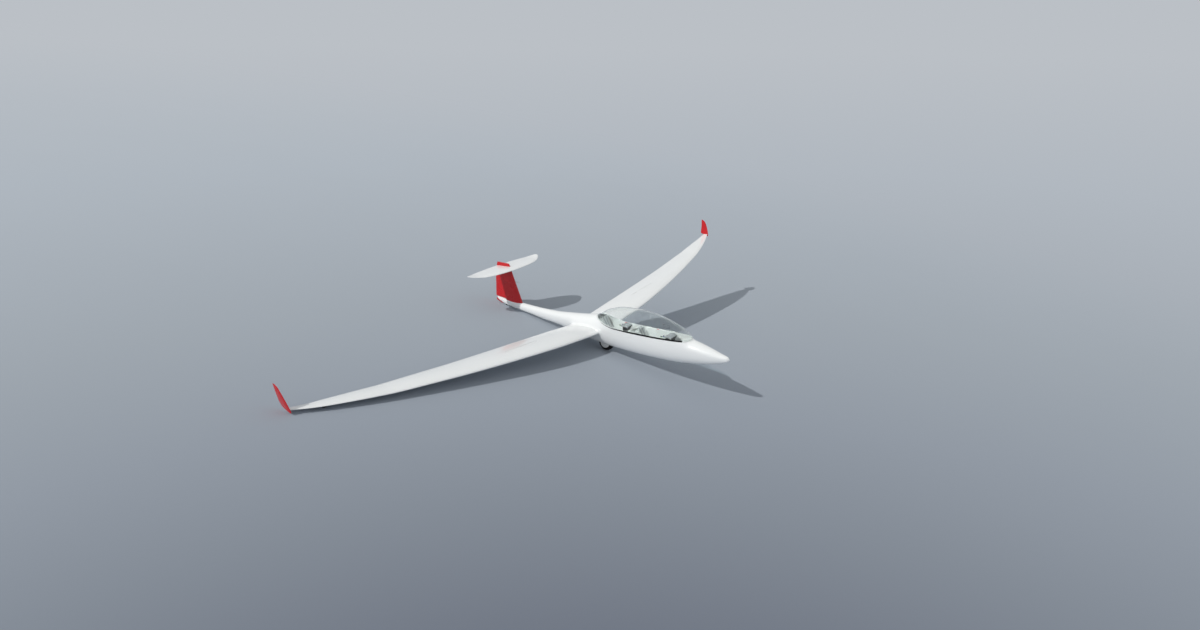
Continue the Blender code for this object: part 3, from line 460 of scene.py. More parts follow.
# Laminates and mouldings: smooth, with the low gloss that the mould left
BLACK_FRAME = grained("satin_black_laminate", "1C1D1E", "121213", 0.34, 120.0, 0.08, 0.0005)
BLACK_PLASTIC = grained("moulded_black_plastic", "222324", "191A1A", 0.45, 500.0, 0.10, 0.0003)
PALE_FRAME = grained("pale_grey_laminate", "D5DAD9", "C8CDCC", 0.42, 150.0, 0.06, 0.0004)
# Embossed leatherette, with a 2.4 mm grain and a weak sheen
LEATHERETTE = grained("grey_leatherette", "8F9495", "7F8485", 0.62, 420.0, 0.25, 0.0006)
# Screen-printed white: quite flat and without any shine
DIAL_WHITE = grained("matt_dial_white", "E6E6DE", "D8D8D0", 0.70, 600.0, 0.02, 0.0002)

LACQUERS = {}
for name, pale, dark in (("blue_lacquer", "2456A8", "1F4C96"), ("green_lacquer", "2C8A4A", "257A40"),
                         ("yellow_lacquer", "E2BC22", "D4AE1C"), ("red_lacquer", "C42A2A", "B42424")):
    LACQUERS[name] = grained(name, pale, dark, 0.30, 220.0, 0.04, 0.0004)
print("made 10 finishes and", len(LACQUERS), "lacquers")

# %% [markdown]
# ## Upholstery cloth
#
# The seat cushions wear a hard-wearing grey wool cloth in a plain weave. Its threads are
# about 1.2 mm apart, which is too fine for any view of a 20 m glider, so it is drawn at
# 4 mm. Two crossed waves make the weave, and sheen gives the pale bloom of wool.

# %% Cloth
def woven(name, pale, dark, spacing, sheen):
    """A plain weave with threads this many metres apart."""
    made, tree, shader, place = new_material(
        name, Roughness=0.92, Sheen_Weight=sheen, Sheen_Roughness=0.45)
    lines = []
    for axis in ("X", "Y"):
        threads = add_node(tree, "TexWave", {"bands_direction": axis}, {
            "Vector": place, "Scale": math.pi / (10 * spacing), "Distortion": 0.6, "Detail": 1.0})
        lines.append(threads.outputs["Fac"])
    weave = add_node(tree, "Math", {"operation": "MULTIPLY"}, {0: lines[0], 1: lines[1]})
    worn = add_node(tree, "TexNoise", inputs={"Vector": place, "Scale": 11.0, "Detail": 4.0})
    share = add_node(tree, "Math", {"operation": "MULTIPLY"}, {
        0: weave.outputs["Value"], 1: worn.outputs["Fac"]})
    tone = add_node(tree, "Mix", {"data_type": "RGBA"}, {
        0: share.outputs["Value"], 6: linear(dark), 7: linear(pale)})
    bump = add_node(tree, "Bump", inputs={
        "Height": weave.outputs["Value"], "Strength": 0.4, "Distance": 0.001})
    feed(tree, shader, Base_Color=tone.outputs[2], Normal=bump.outputs["Normal"])
    return made


WOOL = woven("grey_wool_upholstery", "D0D4D2", "B2B8B6", 0.004, 0.3)
WEBBING = woven("silver_grey_polyester_webbing", "AEB3B5", "8E9496", 0.003, 0.1)
print("made", WOOL.name, WEBBING.name)

# %% [markdown]
# ## The lines of the hull
#
# The hull is drawn as a boatbuilder would draw it: a top line, a bottom line, the half
# width and the height of the widest point, each given at some places along the length. A
# smooth line runs through them without overshooting, and every cross-section is a rounded
# oval between the four values.

# %% Lines and cross-sections
TOP = [(-4.134, 0.690), (-4.08, 0.745), (-3.83, 0.805), (-3.50, 0.895), (-3.20, 0.962),
       (-2.92, 1.020), (-2.80, 1.160), (-2.60, 1.295), (-2.20, 1.445), (-1.70, 1.550), (-1.20, 1.575),
       (-0.60, 1.530), (-0.10, 1.370), (0.33, 1.125), (0.70, 1.040), (1.34, 0.945), (2.03, 0.868),
       (2.70, 0.848), (3.40, 0.858), (4.10, 0.886), (4.30, 0.897), (4.42, 0.896), (4.47, 0.880)]
BOTTOM = [(-4.134, 0.655), (-4.08, 0.600), (-3.69, 0.456), (-3.28, 0.358), (-2.34, 0.228),
          (-1.28, 0.188), (-0.35, 0.196), (0.50, 0.268), (1.20, 0.370), (1.80, 0.452), (2.51, 0.512),
          (3.07, 0.582), (3.79, 0.648), (4.10, 0.694), (4.30, 0.757), (4.42, 0.806), (4.47, 0.840)]
HALF = [(-4.134, 0.018), (-4.08, 0.072), (-3.80, 0.155), (-3.50, 0.215), (-3.20, 0.262),
        (-2.90, 0.300), (-2.40, 0.345), (-1.80, 0.366), (-1.20, 0.370), (-0.60, 0.362), (0.00, 0.343),
        (0.60, 0.296), (1.20, 0.240), (1.80, 0.190), (2.60, 0.146), (3.40, 0.116), (4.10, 0.088),
        (4.30, 0.070), (4.42, 0.045), (4.47, 0.020)]
WIDEST = [(-4.134, 0.673), (-3.50, 0.700), (-2.90, 0.745), (-2.00, 0.790), (-1.00, 0.800),
          (0.00, 0.780), (1.00, 0.730), (2.00, 0.690), (3.00, 0.705), (4.10, 0.790), (4.47, 0.860)]
# Where the canopy meets the hull
SILL = [(-2.98, 1.004), (-2.78, 0.982), (-2.07, 0.935), (-1.39, 0.905), (-0.75, 0.888),
        (-0.45, 0.890), (-0.20, 0.925), (0.05, 1.005), (0.34, 1.120)]
WALL, BULKHEAD_Y = 0.028, 0.37
NOSE_Y, TAIL_Y = -4.134, 4.47
# How square a cross-section is: 2 would be an ellipse
UPPER_POWER, LOWER_POWER = 2.15, 2.25


def along(table, at, column=1):
    """The value of one column on the smooth line through a table, at a place along it."""
    places, values = [row[0] for row in table], [row[column] for row in table]
    gaps = range(len(places) - 1)
    at = min(max(at, places[0]), places[-1])
    i = max(k for k in gaps if places[k] <= at)
    rise = [(values[k + 1] - values[k]) / (places[k + 1] - places[k]) for k in gaps]

    def slope(k):
        if k in (0, len(rise)):
            return rise[min(k, len(rise) - 1)]
        before, after = rise[k - 1], rise[k]
        return 0.0 if before * after <= 0 else 2 * before * after / (before + after)

    width = places[i + 1] - places[i]
    t = (at - places[i]) / width
    return ((2 * t**3 - 3 * t**2 + 1) * values[i] + (t**3 - 2 * t**2 + t) * width * slope(i)
            + (3 * t**2 - 2 * t**3) * values[i + 1] + (t**3 - t**2) * width * slope(i + 1))


def oval(y, inset=0.0):
    """The hull's half width, top, bottom and widest height at a place, drawn in by the inset."""
    top, bottom = along(TOP, y) - inset, along(BOTTOM, y) + inset
    return along(HALF, y) - inset, top, bottom, min(along(WIDEST, y), top - 0.012)


def hull_points(y, angles, inset=0.0):
    """Points round one cross-section. Angle 0 is at port, and 90 degrees at the top."""
    width, top, bottom, middle = oval(y, inset)
    points = []
    for angle in angles:
        across, up = math.cos(angle), math.sin(angle)
        power = 2 / (UPPER_POWER if up > 0 else LOWER_POWER)
        reach = top - middle if up > 0 else middle - bottom
        points.append((width * math.copysign(abs(across) ** power, across), y,
                       middle + reach * math.copysign(abs(up) ** power, up)))
    return points


def half_width_at(y, z):
    """How far out the hull's side is at a height."""
    width, top, bottom, middle = oval(y)
    reach = top - middle if z > middle else middle - bottom
    power = UPPER_POWER if z > middle else LOWER_POWER
    return width * max(1 - min(abs(z - middle) / reach, 1) ** power, 0) ** (1 / power)


def angle_at(y, z):
    """The angle of the point on the upper cross-section at this height, up to 90 degrees."""
    _, top, _, middle = oval(y)
    return math.asin(min(max((z - middle) / (top - middle), 0), 1) ** (UPPER_POWER / 2))


def spread(first, last, count):
    """This many numbers from the first to the last, evenly apart."""
    return [first + (last - first) * k / (count - 1) for k in range(count)]


def whole_turn(count):
    """Angles all the way round, without the last, which would be the first again."""
    return [2 * math.pi * k / count for k in range(count)]


ROUND = whole_turn(80)
SIDEWAYS = (0, math.radians(90), 0)
print("hull is", round(2 * max(row[1] for row in HALF), 3), "m wide")

# %% [markdown]
# ## One seamless hull
#
# The frame keeps the cockpit section and the tail boom apart, but the real hull is one
# moulding. A grid is laid through 156 cross-sections and joined along its seam. The
# cockpit opening, the hollow inside it and the two wheel openings are then cut out, and the
# faces that the hollow leaves behind carry the grey paint of the cockpit.

# %% Hull
WHEEL_OPENING = {"size": (0.2366, 0.6406, 0.55), "place": (0, 0, 0.075)}
MAIN_HUB, TAIL_HUB = (0, 0, 0.265), (0, 4.055, 0.742)


def hull():
    blunt_nose = [NOSE_Y + 0.16 * (k / 10) ** 2 for k in range(11)]
    rounded_end = [4.32, 4.36, 4.39, 4.42, 4.44, 4.455, TAIL_Y]
    places = [*blunt_nose, *spread(-3.92, 4.28, 138), *rounded_end]
    made = painted(draped([hull_points(y, ROUND) for y in places], closed=True, ends=True), GELCOAT)
    first, last = SILL[0][0], SILL[-1][0]
    side = [*[(y, along(SILL, y)) for y in spread(first, last, 60)], (last, 2.2), (first, 2.2)]
    opening = draped([[(x, y, z) for y, z in side] for x in (-0.8, 0.8)], closed=True, ends=True)
    carve(made, painted(opening, GELCOAT))
    inside = [hull_points(y, ROUND, WALL) for y in spread(-3.78, BULKHEAD_Y, 60)]
    carve(made, painted(draped(inside, closed=True, ends=True), FLECK))
    carve(made, block(**WHEEL_OPENING))
    carve(made, tube(0.107, 0.062, TAIL_HUB, 64, SIDEWAYS))
    return even_shading(made)


skin_of_hull = set_down(hull(), "hull_moulding", replaces=("fuselage", "tail_boom"))
print("the hull has", len(skin_of_hull.data.polygons), "faces")

# %% [markdown]
# ## Wing sections
#
# A wing section is a thickness laid round a slightly curved mean line. It is needed in
# three kinds: whole, the fixed part ahead of a control surface with the round hollow that
# faces it, and the control surface itself with its round nose. All three share one outer
# line, so the surface stays fair across the hinge.

# %% Sections
class Section:
    """A wing section. Thickness and camber are shares of its chord, the hinge point is in metres."""

    def __init__(self, chord, thickness, camber=0.0, hinge=None):
        self.chord, self.thickness, self.camber = chord, thickness, camber
        if hinge:
            self.at = hinge[0] / chord
            self.up = hinge[1]
            self.radii = (self.height(self.at, 1) - self.up, self.up - self.height(self.at, -1))

    def height(self, share, side):
        """The upper (1) or lower (-1) surface over the chord, from the four-digit series' formula."""
        shape = (0.2969 * math.sqrt(share) - 0.1260 * share - 0.3516 * share**2
                 + 0.2843 * share**3 - 0.1036 * share**4)
        half = 5 * self.thickness * shape + 0.0022 * share
        return (4 * self.camber * share * (1 - share) + side * half) * self.chord

    def surface(self, first, last, side, count):
        """Points on one side between two shares of the chord, closer together towards the nose."""
        turns = [math.acos(1 - 2 * share) for share in (first, last)]
        shares = [(1 - math.cos(turn)) / 2 for turn in spread(*turns, count)]
        return [(share * self.chord, self.height(share, side)) for share in shares]

    def arc(self, first, last, room, count):
        """Points on the nose's circle between two angles, where 90 degrees is up and 180 is forward."""
        points = []
        for angle in spread(first, last, count):
            t = (angle - math.pi / 2) / math.pi
            radius = self.radii[0] * (1 - t) + self.radii[1] * t + room
            points.append((self.at * self.chord + radius * math.cos(angle),
                           self.up + radius * math.sin(angle)))
        return points

    def lip(self, side, room):
        """Where the fixed part's skin ends: the share, and the angle seen from the hinge."""
        low, high = 0.5 * self.at, self.at
        radius = self.radii[0 if side > 0 else 1] + room
        for _ in range(30):
            share = (low + high) / 2
            back, up = (self.at - share) * self.chord, self.height(share, side) - self.up
            if math.hypot(back, up) > radius:
                low = share
            else:
                high = share
        return share, math.atan2(up, -back) % (2 * math.pi)

    def whole(self):
        """The full outline, from the trailing edge over the top and back below."""
        return self.surface(1, 0, 1, 30) + self.surface(0, 1, -1, 30)[1:]

    def fixed(self, room=0.002):
        """The part ahead of a control surface, with this much room round its nose."""
        (above, start), (below, end) = self.lip(1, room), self.lip(-1, room)
        return (self.surface(above, 0, 1, 24) + self.surface(0, below, -1, 24)[1:]
                + self.arc(end, start, room, 14)[1:-1])

    def flap(self):
        """The control surface, with a round nose about its hinge."""
        nose = self.arc(math.pi / 2, 1.5 * math.pi, 0.0, 14)[1:-1]
        return self.surface(1, self.at, 1, 14) + nose + self.surface(self.at, 1, -1, 14)


print("a 15 % section of 1 m is", round(2 * Section(1, 0.15).height(0.3, 1), 3), "m thick")

# %% [markdown]
# ## Wings and ailerons
#
# The wing's stations give the leading edge, the trailing edge and the height at places
# along the span. The hinge lines are straight, since a surface can turn about nothing
# else. Each wing is draped in stretches, whole or fixed, which meet without a step.

# %% Wings
WING = [(0.372, 0.060, 1.200, 0.655), (0.90, 0.022, 1.200, 0.715), (1.50, 0.016, 1.202, 0.780),
        (2.30, 0.040, 1.212, 0.852), (3.00, 0.100, 1.232, 0.912), (3.80, 0.196, 1.268, 0.970),
        (4.60, 0.312, 1.313, 1.026), (5.50, 0.458, 1.372, 1.090), (6.20, 0.580, 1.424, 1.147),
        (6.90, 0.712, 1.479, 1.203), (7.60, 0.850, 1.532, 1.260), (8.10, 0.962, 1.572, 1.318),
        (8.60, 1.090, 1.607, 1.376), (9.00, 1.205, 1.632, 1.423), (9.30, 1.302, 1.650, 1.458),
        (9.60, 1.410, 1.666, 1.505), (9.845, 1.505, 1.680, 1.550), (9.895, 1.524, 1.683, 1.559)]
# Each aileron's ends along the span, and the ends of the bay that it swings in
AILERONS = {"inner": (5.50, 7.57), "outer": (7.63, 9.28)}
BAYS = {"inner": (5.4904, 7.5796), "outer": (7.6204, 9.2896)}
ROOT_X, JOINT_X, TIP_X, CAMBER = 0.372, 7.60, 9.893, 0.018
HINGE_SHARE = 0.8
BRAKE = {"x": 3.25, "y": 0.715, "slot": (1.316, 0.041, 0.166), "sunk": 0.033}


def wing_at(x):
    """Leading edge, chord, height and thickness of the wing at a place along the span."""
    leading, trailing, height = (along(WING, x, k) for k in (1, 2, 3))
    return leading, trailing - leading, height, 0.148 - 0.033 * (x - ROOT_X) / 9.473


def hinge_ends(part):
    """Both ends of an aileron's hinge line, on the port side."""
    ends = []
    for x in AILERONS[part]:
        leading, chord, height, _ = wing_at(x)
        rise = 4 * CAMBER * 0.16 * chord
        ends.append(Vector((x, leading + HINGE_SHARE * chord, height + rise)))
    return ends


def wing_row(x, side, kind, part=None):
    """One section of a wing: whole, fixed or flap, about the hinge of one aileron."""
    leading, chord, height, thickness = wing_at(x)
    hinge = None
    if part:
        first, last = hinge_ends(part)
        point = first.lerp(last, (x - first.x) / (last.x - first.x))
        hinge = (point.y - leading, point.z - height)
    points = getattr(Section(chord, thickness, CAMBER, hinge), kind)()
    return [(side * x, leading + back, height + up) for back, up in points]


def wing_stretch(side, ends, kind, part=None, step=0.13):
    """A closed piece of wing between two places along the span."""
    low, high = ends
    places = spread(low, high, max(2, round((high - low) / step) + 1))
    return draped([wing_row(x, side, kind, part) for x in places], closed=True, ends=True)


def brake_slot(side):
    """The block that cuts the airbrake's slot. It lies along the wing's upper side."""
    leading, chord, height, thickness = wing_at(BRAKE["x"])
    rise = Section(chord, thickness, CAMBER).height((BRAKE["y"] - leading) / chord, 1)
    lean = -side * math.atan2(wing_at(3.90)[2] - wing_at(2.60)[2], 1.30)
    down = Matrix.Rotation(lean, 3, "Y") @ Vector((0, 0, BRAKE["sunk"]))
    return block(BRAKE["slot"], Vector((side * BRAKE["x"], BRAKE["y"], height + rise)) - down, (0, lean, 0))


def inner_panel(side):
    start, stop = BAYS["inner"]
    root = wing_stretch(side, (ROOT_X, start), "whole", step=0.10)
    even_shading(carve(root, brake_slot(side)))
    bay = wing_stretch(side, (start, stop), "fixed", "inner")
    end = wing_stretch(side, (stop, JOINT_X), "whole")
    return joined([root, smooth(bay), smooth(end)])


def outer_panel(side):
    start, stop = BAYS["outer"]
    return joined([smooth(wing_stretch(side, (JOINT_X + 0.0006, start), "whole")),
                   smooth(wing_stretch(side, (start, stop), "fixed", "outer")),
                   smooth(wing_stretch(side, (stop, TIP_X), "whole", step=0.04))])


for side, word in SIDES:
    set_down(inner_panel(side), f"wing_skin_{word}", finish=GELCOAT, replaces=(f"wing_{word}",))
    set_down(outer_panel(side), f"wing_tip_skin_{word}", finish=GELCOAT, replaces=(f"wing_tip_{word}",))
    for part, ends in AILERONS.items():
        node = f"aileron_{part}_{word}"
        flap = smooth(wing_stretch(side, ends, "flap", part))
        set_down(flap, f"aileron_{part}_skin_{word}", node, GELCOAT, (node,))
print("the wings are", round(TIP_X - ROOT_X, 2), "m long, and", len(AILERONS), "ailerons hang on each")

# %% [markdown]
# ## Fillets at the wing roots
#
# Where the wing leaves the hull, the air needs a soft corner. The fillet is a curve from
# the wing's end to a line on the hull a hand's breadth away, bent towards the corner where
# the two would meet. It narrows to nothing at the trailing edge.

# %% Wing root fillets
def root_fillet(side):
    leading, chord, height, thickness = wing_at(ROOT_X)
    outline = Section(chord, thickness, CAMBER).whole()
    points = [(leading + back, height + up) for back, up in outline]
    rows = [[] for _ in range(12)]
    for k, (y, z) in enumerate(points):
        before, after = points[max(k - 1, 0)], points[min(k + 1, len(points) - 1)]
        out = Vector((before[1] - after[1], after[0] - before[0])).normalized()
        if (out.y > 0) != (k < 30):
            out = -out
        back = (y - leading) / chord
        reach = 0.13 * min(1.0, 1.5 * math.sqrt(max(0.0, 1 - back)))
        reach += 0.07 * math.exp(-((back / 0.05) ** 2))
        start = Vector((ROOT_X - 0.0006, y, z))
        corner = Vector((half_width_at(y, z), y, z))
        foot_y, foot_z = y + out.x * reach, z + out.y * reach
        foot = Vector((half_width_at(foot_y, foot_z), foot_y, foot_z))
        for row, t in zip(rows, [*spread(0.0, 1.0, 11), None]):
            if t is None:
                p = foot - Vector((0.006, 0, 0))
            else:
                p = start * (1 - t) ** 2 + corner * 2 * t * (1 - t) + foot * t**2
            row.append((side * p.x, p.y, p.z))
    return smooth(draped(rows, closed=True), 60)


for side, word in SIDES:
    set_down(root_fillet(side), f"wing_root_fillet_{word}", finish=GELCOAT)
print("fillets", len(SIDES))

# %% [markdown]
# ## Fin, rudder, tailplane and elevator
#
# The tail uses the same sections with no camber. The fin stands on edge, so its thickness
# runs across the glider. The rudder's hinge leans back a little, and the elevator is one
# surface that spans both sides of the fin.

# %% Tail surfaces
FIN_BACK = [(0.78, 4.534), (1.50, 4.524), (1.90, 4.492), (2.03, 4.464), (2.118, 4.432)]
TAIL_Z, ELEVATOR_Y = 1.988, 4.252
TAIL = [(0.0, 3.605, 4.432, 0.0), (0.45, 3.629, 4.420, 0.0), (0.90, 3.682, 4.394, 0.0),
        (1.28, 3.790, 4.350, 0.0), (1.45, 3.880, 4.308, 0.012), (1.59, 3.975, 4.266, 0.030),
        (1.67, 4.046, 4.232, 0.043), (1.706, 4.110, 4.196, 0.051)]
BAY_ENDS = (0.056, 1.2766, 1.7055)  # half the middle piece, the elevator's bay and the tip


def fin_front(z):
    """Where the fin's leading edge is at a height."""
    return 3.378 + (3.925 - 3.378) * (z - 0.86) / 1.258


def fin_row(z, kind):
    """A level section of the fin or rudder."""
    leading = fin_front(z)
    hinge = (4.062 + 0.103 * (z - 0.93) - leading, 0.0) if kind != "whole" else None
    section = Section(along(FIN_BACK, z) - leading, 0.125, 0.0, hinge)
    return [(up, leading + back, z) for back, up in getattr(section, kind)()]


def tail_row(x, kind):
    """An upright section of the tailplane or elevator."""
    leading, trailing, rise = (along(TAIL, abs(x), k) for k in (1, 2, 3))
    hinge = (ELEVATOR_Y - leading, 0.0) if kind != "whole" else None
    section = Section(trailing - leading, 0.095, 0.0, hinge)
    return [(x, leading + back, TAIL_Z + rise + up) for back, up in getattr(section, kind)()]


def fin_piece(low, high, kind, count=24):
    return draped([fin_row(z, kind) for z in spread(low, high, count)], closed=True, ends=True)


def tail_stretch(low, high, kind, count):
    return draped([tail_row(x, kind) for x in spread(low, high, count)], closed=True, ends=True)


set_down(smooth(fin_piece(0.80, 1.975, "fixed")), "fin_skin", "glider", RED, ("fin",))
cap = round_off(fin_piece(1.99, 2.118, "whole", 8), 0.006, 4, 50)
set_down(cap, "fin_cap_skin", "glider", RED, ("fin_cap",))
set_down(smooth(fin_piece(0.914, 1.908, "flap")), "rudder_skin", "rudder", RED, ("rudder",))

middle, bay, end = BAY_ENDS
fixed = [tail_stretch(-end, -bay, "whole", 26), tail_stretch(-bay, -middle, "fixed", 14),
         tail_stretch(-middle, middle, "whole", 3), tail_stretch(middle, bay, "fixed", 14),
         tail_stretch(bay, end, "whole", 26)]
flaps = [tail_stretch(-1.27, -0.062, "flap", 14), tail_stretch(0.062, 1.27, "flap", 14)]
for stretch in fixed + flaps:
    smooth(stretch)
set_down(joined(fixed), "tailplane_skin", finish=GELCOAT, replaces=("tailplane",))
set_down(joined(flaps), "elevator_skin", "elevator", GELCOAT, ("elevator",))
print("the tailplane is", 2 * end, "m wide")

# %% [markdown]
# ## Winglets
#
# The winglets stand on the wing tips and lean out a little. Their sections shrink towards
# a rounded top.

# %% Winglets
# Station, distance out, and then y and z of the leading and the trailing edge
WINGLET = [(0, 9.895, 1.480, 1.490, 1.690, 1.532), (1, 9.897, 1.484, 1.530, 1.812, 1.596),
           (2, 9.920, 1.508, 1.640, 1.828, 1.690), (3, 9.952, 1.574, 1.820, 1.837, 1.850),
           (4, 9.976, 1.655, 1.985, 1.850, 2.000), (5, 9.986, 1.730, 2.085, 1.862, 2.092),
           (6, 9.990, 1.800, 2.125, 1.866, 2.130)]


def winglet(side):
    rows = []
    outwards_way = Vector((1, 0, -0.25 * side)).normalized()
    for t in spread(0, 6, 37):
        x, y0, z0, y1, z1 = (along(WINGLET, t, k) for k in range(1, 6))
        leading, trailing = Vector((side * x, y0, z0)), Vector((side * x, y1, z1))
        chord = (trailing - leading).length
        outline = Section(chord, 0.095).whole()
        rows.append([leading.lerp(trailing, back / chord) + outwards_way * up for back, up in outline])
    return smooth(draped(rows, closed=True, ends=True))


for side, word in SIDES:
    set_down(winglet(side), f"winglet_skin_{word}", finish=RED, replaces=(f"winglet_{word}",))
print("the winglets reach", WINGLET[-1][5], "m high")

# %% [markdown]
# ## Canopy
#
# The acrylic follows the hull's own cross-sections above the joint, and gets its 6 mm of
# thickness inwards. The laminated frame is a band of the same surface along the joint,
# which closes over the top at both ends. It is painted pale grey, and a black rubber seal
# along its lower edge is the one dark line that shows from outside.

# %% Canopy
FRAME_LOW, FRAME_HIGH = 0.006, 0.040  # over the joint


def crossing(lift, nearest):
    """Where the joint's line, raised by a lift, meets the hull's top line near one end of the canopy."""
    low, high = (SILL[0][0] - 0.001, -1.5) if nearest < -1 else (SILL[-1][0] + 0.001, -0.5)
    for _ in range(40):
        y = (low + high) / 2
        if along(SILL, y) + lift > along(TOP, y) - 0.0005:
            low = y
        else:
            high = y
    return y


def side_band(y, low, high, count, inset=0.0):
    """Points up the port side from one height over the joint to another, or to the top."""
    first, last = (angle_at(y, along(SILL, y) + lift) for lift in (low, high))
    return hull_points(y, spread(first, last, count), inset)


def over_the_top(row):
    """A port row and its mirror image, from starboard over the top to port."""
    return [(-x, y, z) for x, y, z in row] + row[-2::-1]


def canopy_places(lift, count):
    """Places along the canopy, closer together at both ends."""
    first, last = crossing(lift, -3), crossing(lift, 0.4)
    return [first + (last - first) * (1 - math.cos(math.pi * k / (count - 1))) / 2 for k in range(count)]


def face_outwards(obj):
    """Turns an open surface over if it faces the hull's inside."""
    mesh = obj.data
    if sum(p.normal.z * p.area for p in mesh.polygons) < 0:
        only(obj)
        bpy.ops.object.mode_set(mode="EDIT")
        bpy.ops.mesh.select_all(action="SELECT")
        bpy.ops.mesh.flip_normals()
        bpy.ops.object.mode_set(mode="OBJECT")
    return obj


glass_rows = [over_the_top(side_band(y, FRAME_HIGH, 9, 26)) for y in canopy_places(FRAME_HIGH, 90)]
glass = smooth(thicken(face_outwards(draped(glass_rows)), 0.006), 50)
set_down(glass, "canopy_acrylic", "canopy", ACRYLIC, ("canopy_glass",))

bands = []
frame_rows = [side_band(y, FRAME_LOW, FRAME_HIGH, 7) for y in canopy_places(FRAME_LOW, 120)]
for side in (1, -1):
    bands.append(face_outwards(draped([[(side * x, y, z) for x, y, z in row] for row in frame_rows])))
rim = joined(bands)
outwards(rim)
smooth(thicken(face_outwards(rim), 0.024), 50)
set_down(rim, "canopy_frame_skin", "canopy", PALE_FRAME, ("canopy_frame",))


def seal(side):
    """A rubber lip along one side, tall in front and thin behind."""
    rows = []
    foot = FRAME_LOW - 0.004
    for y in spread(-2.76, 0.02, 70):
        tall = 0.046 if y < -1.0 else max(0.046 - 0.038 * (y + 1.0) / 0.9, 0.006)
        inner = side_band(y, foot, foot + tall, 4)
        outer = [(x + 0.0045, py, z) for x, py, z in inner]
        rows.append([(side * x, py, z) for x, py, z in [*outer, *reversed(inner)]])
    return smooth(draped(rows, closed=True, ends=True), 50)


for side, word in SIDES:
    set_down(seal(side), f"canopy_seal_{word}", "canopy", RUBBER)
print("the canopy is", round(SILL[-1][0] - SILL[0][0], 2), "m long")

# %% [markdown]
# ## Smooth skins over the rest of the frame
#
# The frame's meshes are made for measuring, so each of their triangles stands alone. For
# the small fittings a skin is enough: a copy whose corners are joined again and which is
# shaded smooth wherever two faces meet at a shallow angle.

# %% Skins
def skin(node, finish, degrees=32):
    """A joined, smooth copy of a node, which stands for it."""
    name, body = f"{node}_skin", frame["nodes"][node]["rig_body"]
    return set_down(even_shading(own_copy(node, name), degrees), name, body, finish, (node,), level=False)


SKINS = {
    GELCOAT: ["gear_door_port", "gear_door_starboard", "airbrake_port", "airbrake_starboard"],
    RED: ["tail_bumper"],
    WHEEL_PAINT: ["main_rim", "tail_hub"],
    ZINC: ["main_axle", "tail_axle", "gear_bracket", "pedals_front"],
    FLECK: ["cockpit_floor", "seat_front", "seat_rear", "wheel_well"],
    WRINKLE: ["instrument_panel_front", "instrument_panel_rear"],
    BLACK_FRAME: ["tip_skid_port", "tip_skid_starboard"],
    BLACK_PLASTIC: ["stick_front", "stick_rear"],
}
for finish, nodes in SKINS.items():
    for node in nodes:
        skin(node, finish)
print("skins", sum(len(nodes) for nodes in SKINS.values()))

# %% [markdown]
# ## Seat pads, filled by a cloth simulation
#
# A pad is a bag of foam. Each one starts as its CAD solid, a little smaller, remeshed into
# even faces. Blender's cloth then swells it from inside, with no gravity. How far a point
# may go is capped, less towards the seat that the pad rests on. Sewn channels come last,
# because the remesh would have erased them.

# %% Seat pads
# Which way each pad faces
PADS = {"cushion_front": (0, 0, 1), "cushion_rear": (0, 0, 1),
        "backrest_front": (0, -0.848, 0.530), "backrest_rear": (0, -0.838, 0.545)}
PAD_CAP, SEAT_CAP = 0.011, 0.001  # how far a point may swell, and towards the seat
NARROWER, THINNER, VOXEL = 0.965, 0.10, 0.006
PRESSURE, SWELLING_STEPS = 4.0, 20
CHANNELS, CHANNEL_DEPTH, CHANNEL_WIDTH = (-0.105, 0.0, 0.105), 0.006, 0.007


def shrunk_and_remeshed(pad, face):
    """Room to swell, and even faces to swell with."""
    middle = sum((v.co for v in pad.data.vertices), Vector()) / len(pad.data.vertices)
    for vertex in pad.data.vertices:
        vertex.co.x *= NARROWER
        vertex.co -= face * THINNER * (vertex.co - middle).dot(face)
    even = pad.modifiers.new("even", "REMESH")
    even.mode = "VOXEL"
    even.voxel_size = VOXEL
    apply_modifiers(pad)


def swell(pad):
    """Runs the cloth simulation with pressure inside and no gravity, and keeps its last frame."""
    cloth = pad.modifiers.new("filling", "CLOTH")
    cloth.settings.use_pressure = True
    cloth.settings.uniform_pressure_force = PRESSURE
    cloth.settings.effector_weights.gravity = 0.0
    for step in range(1, SWELLING_STEPS + 1):
        bpy.context.scene.frame_set(step)
    apply_modifiers(pad)
    bpy.context.scene.frame_set(1)


def hold_back(pad, start, face):
    """Caps how far each point went, in all and towards the seat."""
    for vertex, first in zip(pad.data.vertices, start):
        move = vertex.co - first
        if move.length > PAD_CAP:
            move *= PAD_CAP / move.length
        down = -move.dot(face)
        if down > SEAT_CAP:
            move += face * (down - SEAT_CAP)
        vertex.co = first + move


def sew_channels(pad, face):
    """Presses the stitched lines into the side that the pilot sits against."""
    normals = [v.normal.copy() for v in pad.data.vertices]
    for vertex, normal in zip(pad.data.vertices, normals):
        if normal.dot(face) > 0.5:
            depth = sum(math.exp(-((vertex.co.x - x) / CHANNEL_WIDTH) ** 2) for x in CHANNELS)
            vertex.co -= face * CHANNEL_DEPTH * depth


def filled_pad(node, face):
    face = Vector(face).normalized()
    pad = own_copy(node, f"{node}_pad", level=True)
    shrunk_and_remeshed(pad, face)
    start = [v.co.copy() for v in pad.data.vertices]
    swell(pad)
    hold_back(pad, start, face)
    finer = pad.modifiers.new("finer", "SUBSURF")
    finer.levels = finer.render_levels = 1
    apply_modifiers(pad)
    sew_channels(pad, face)
    set_down(smooth(pad, 60), f"{node}_pad", finish=WOOL, replaces=(node,))


for node, face in PADS.items():
    filled_pad(node, face)
print("filled", len(PADS), "pads")

# %% [markdown]
# ## Belts
#
# Each pilot has a harness of five straps that meet at one round buckle. The straps are
# flat webbing 45 mm wide. They lie on the pads, slack, as nobody sits there.

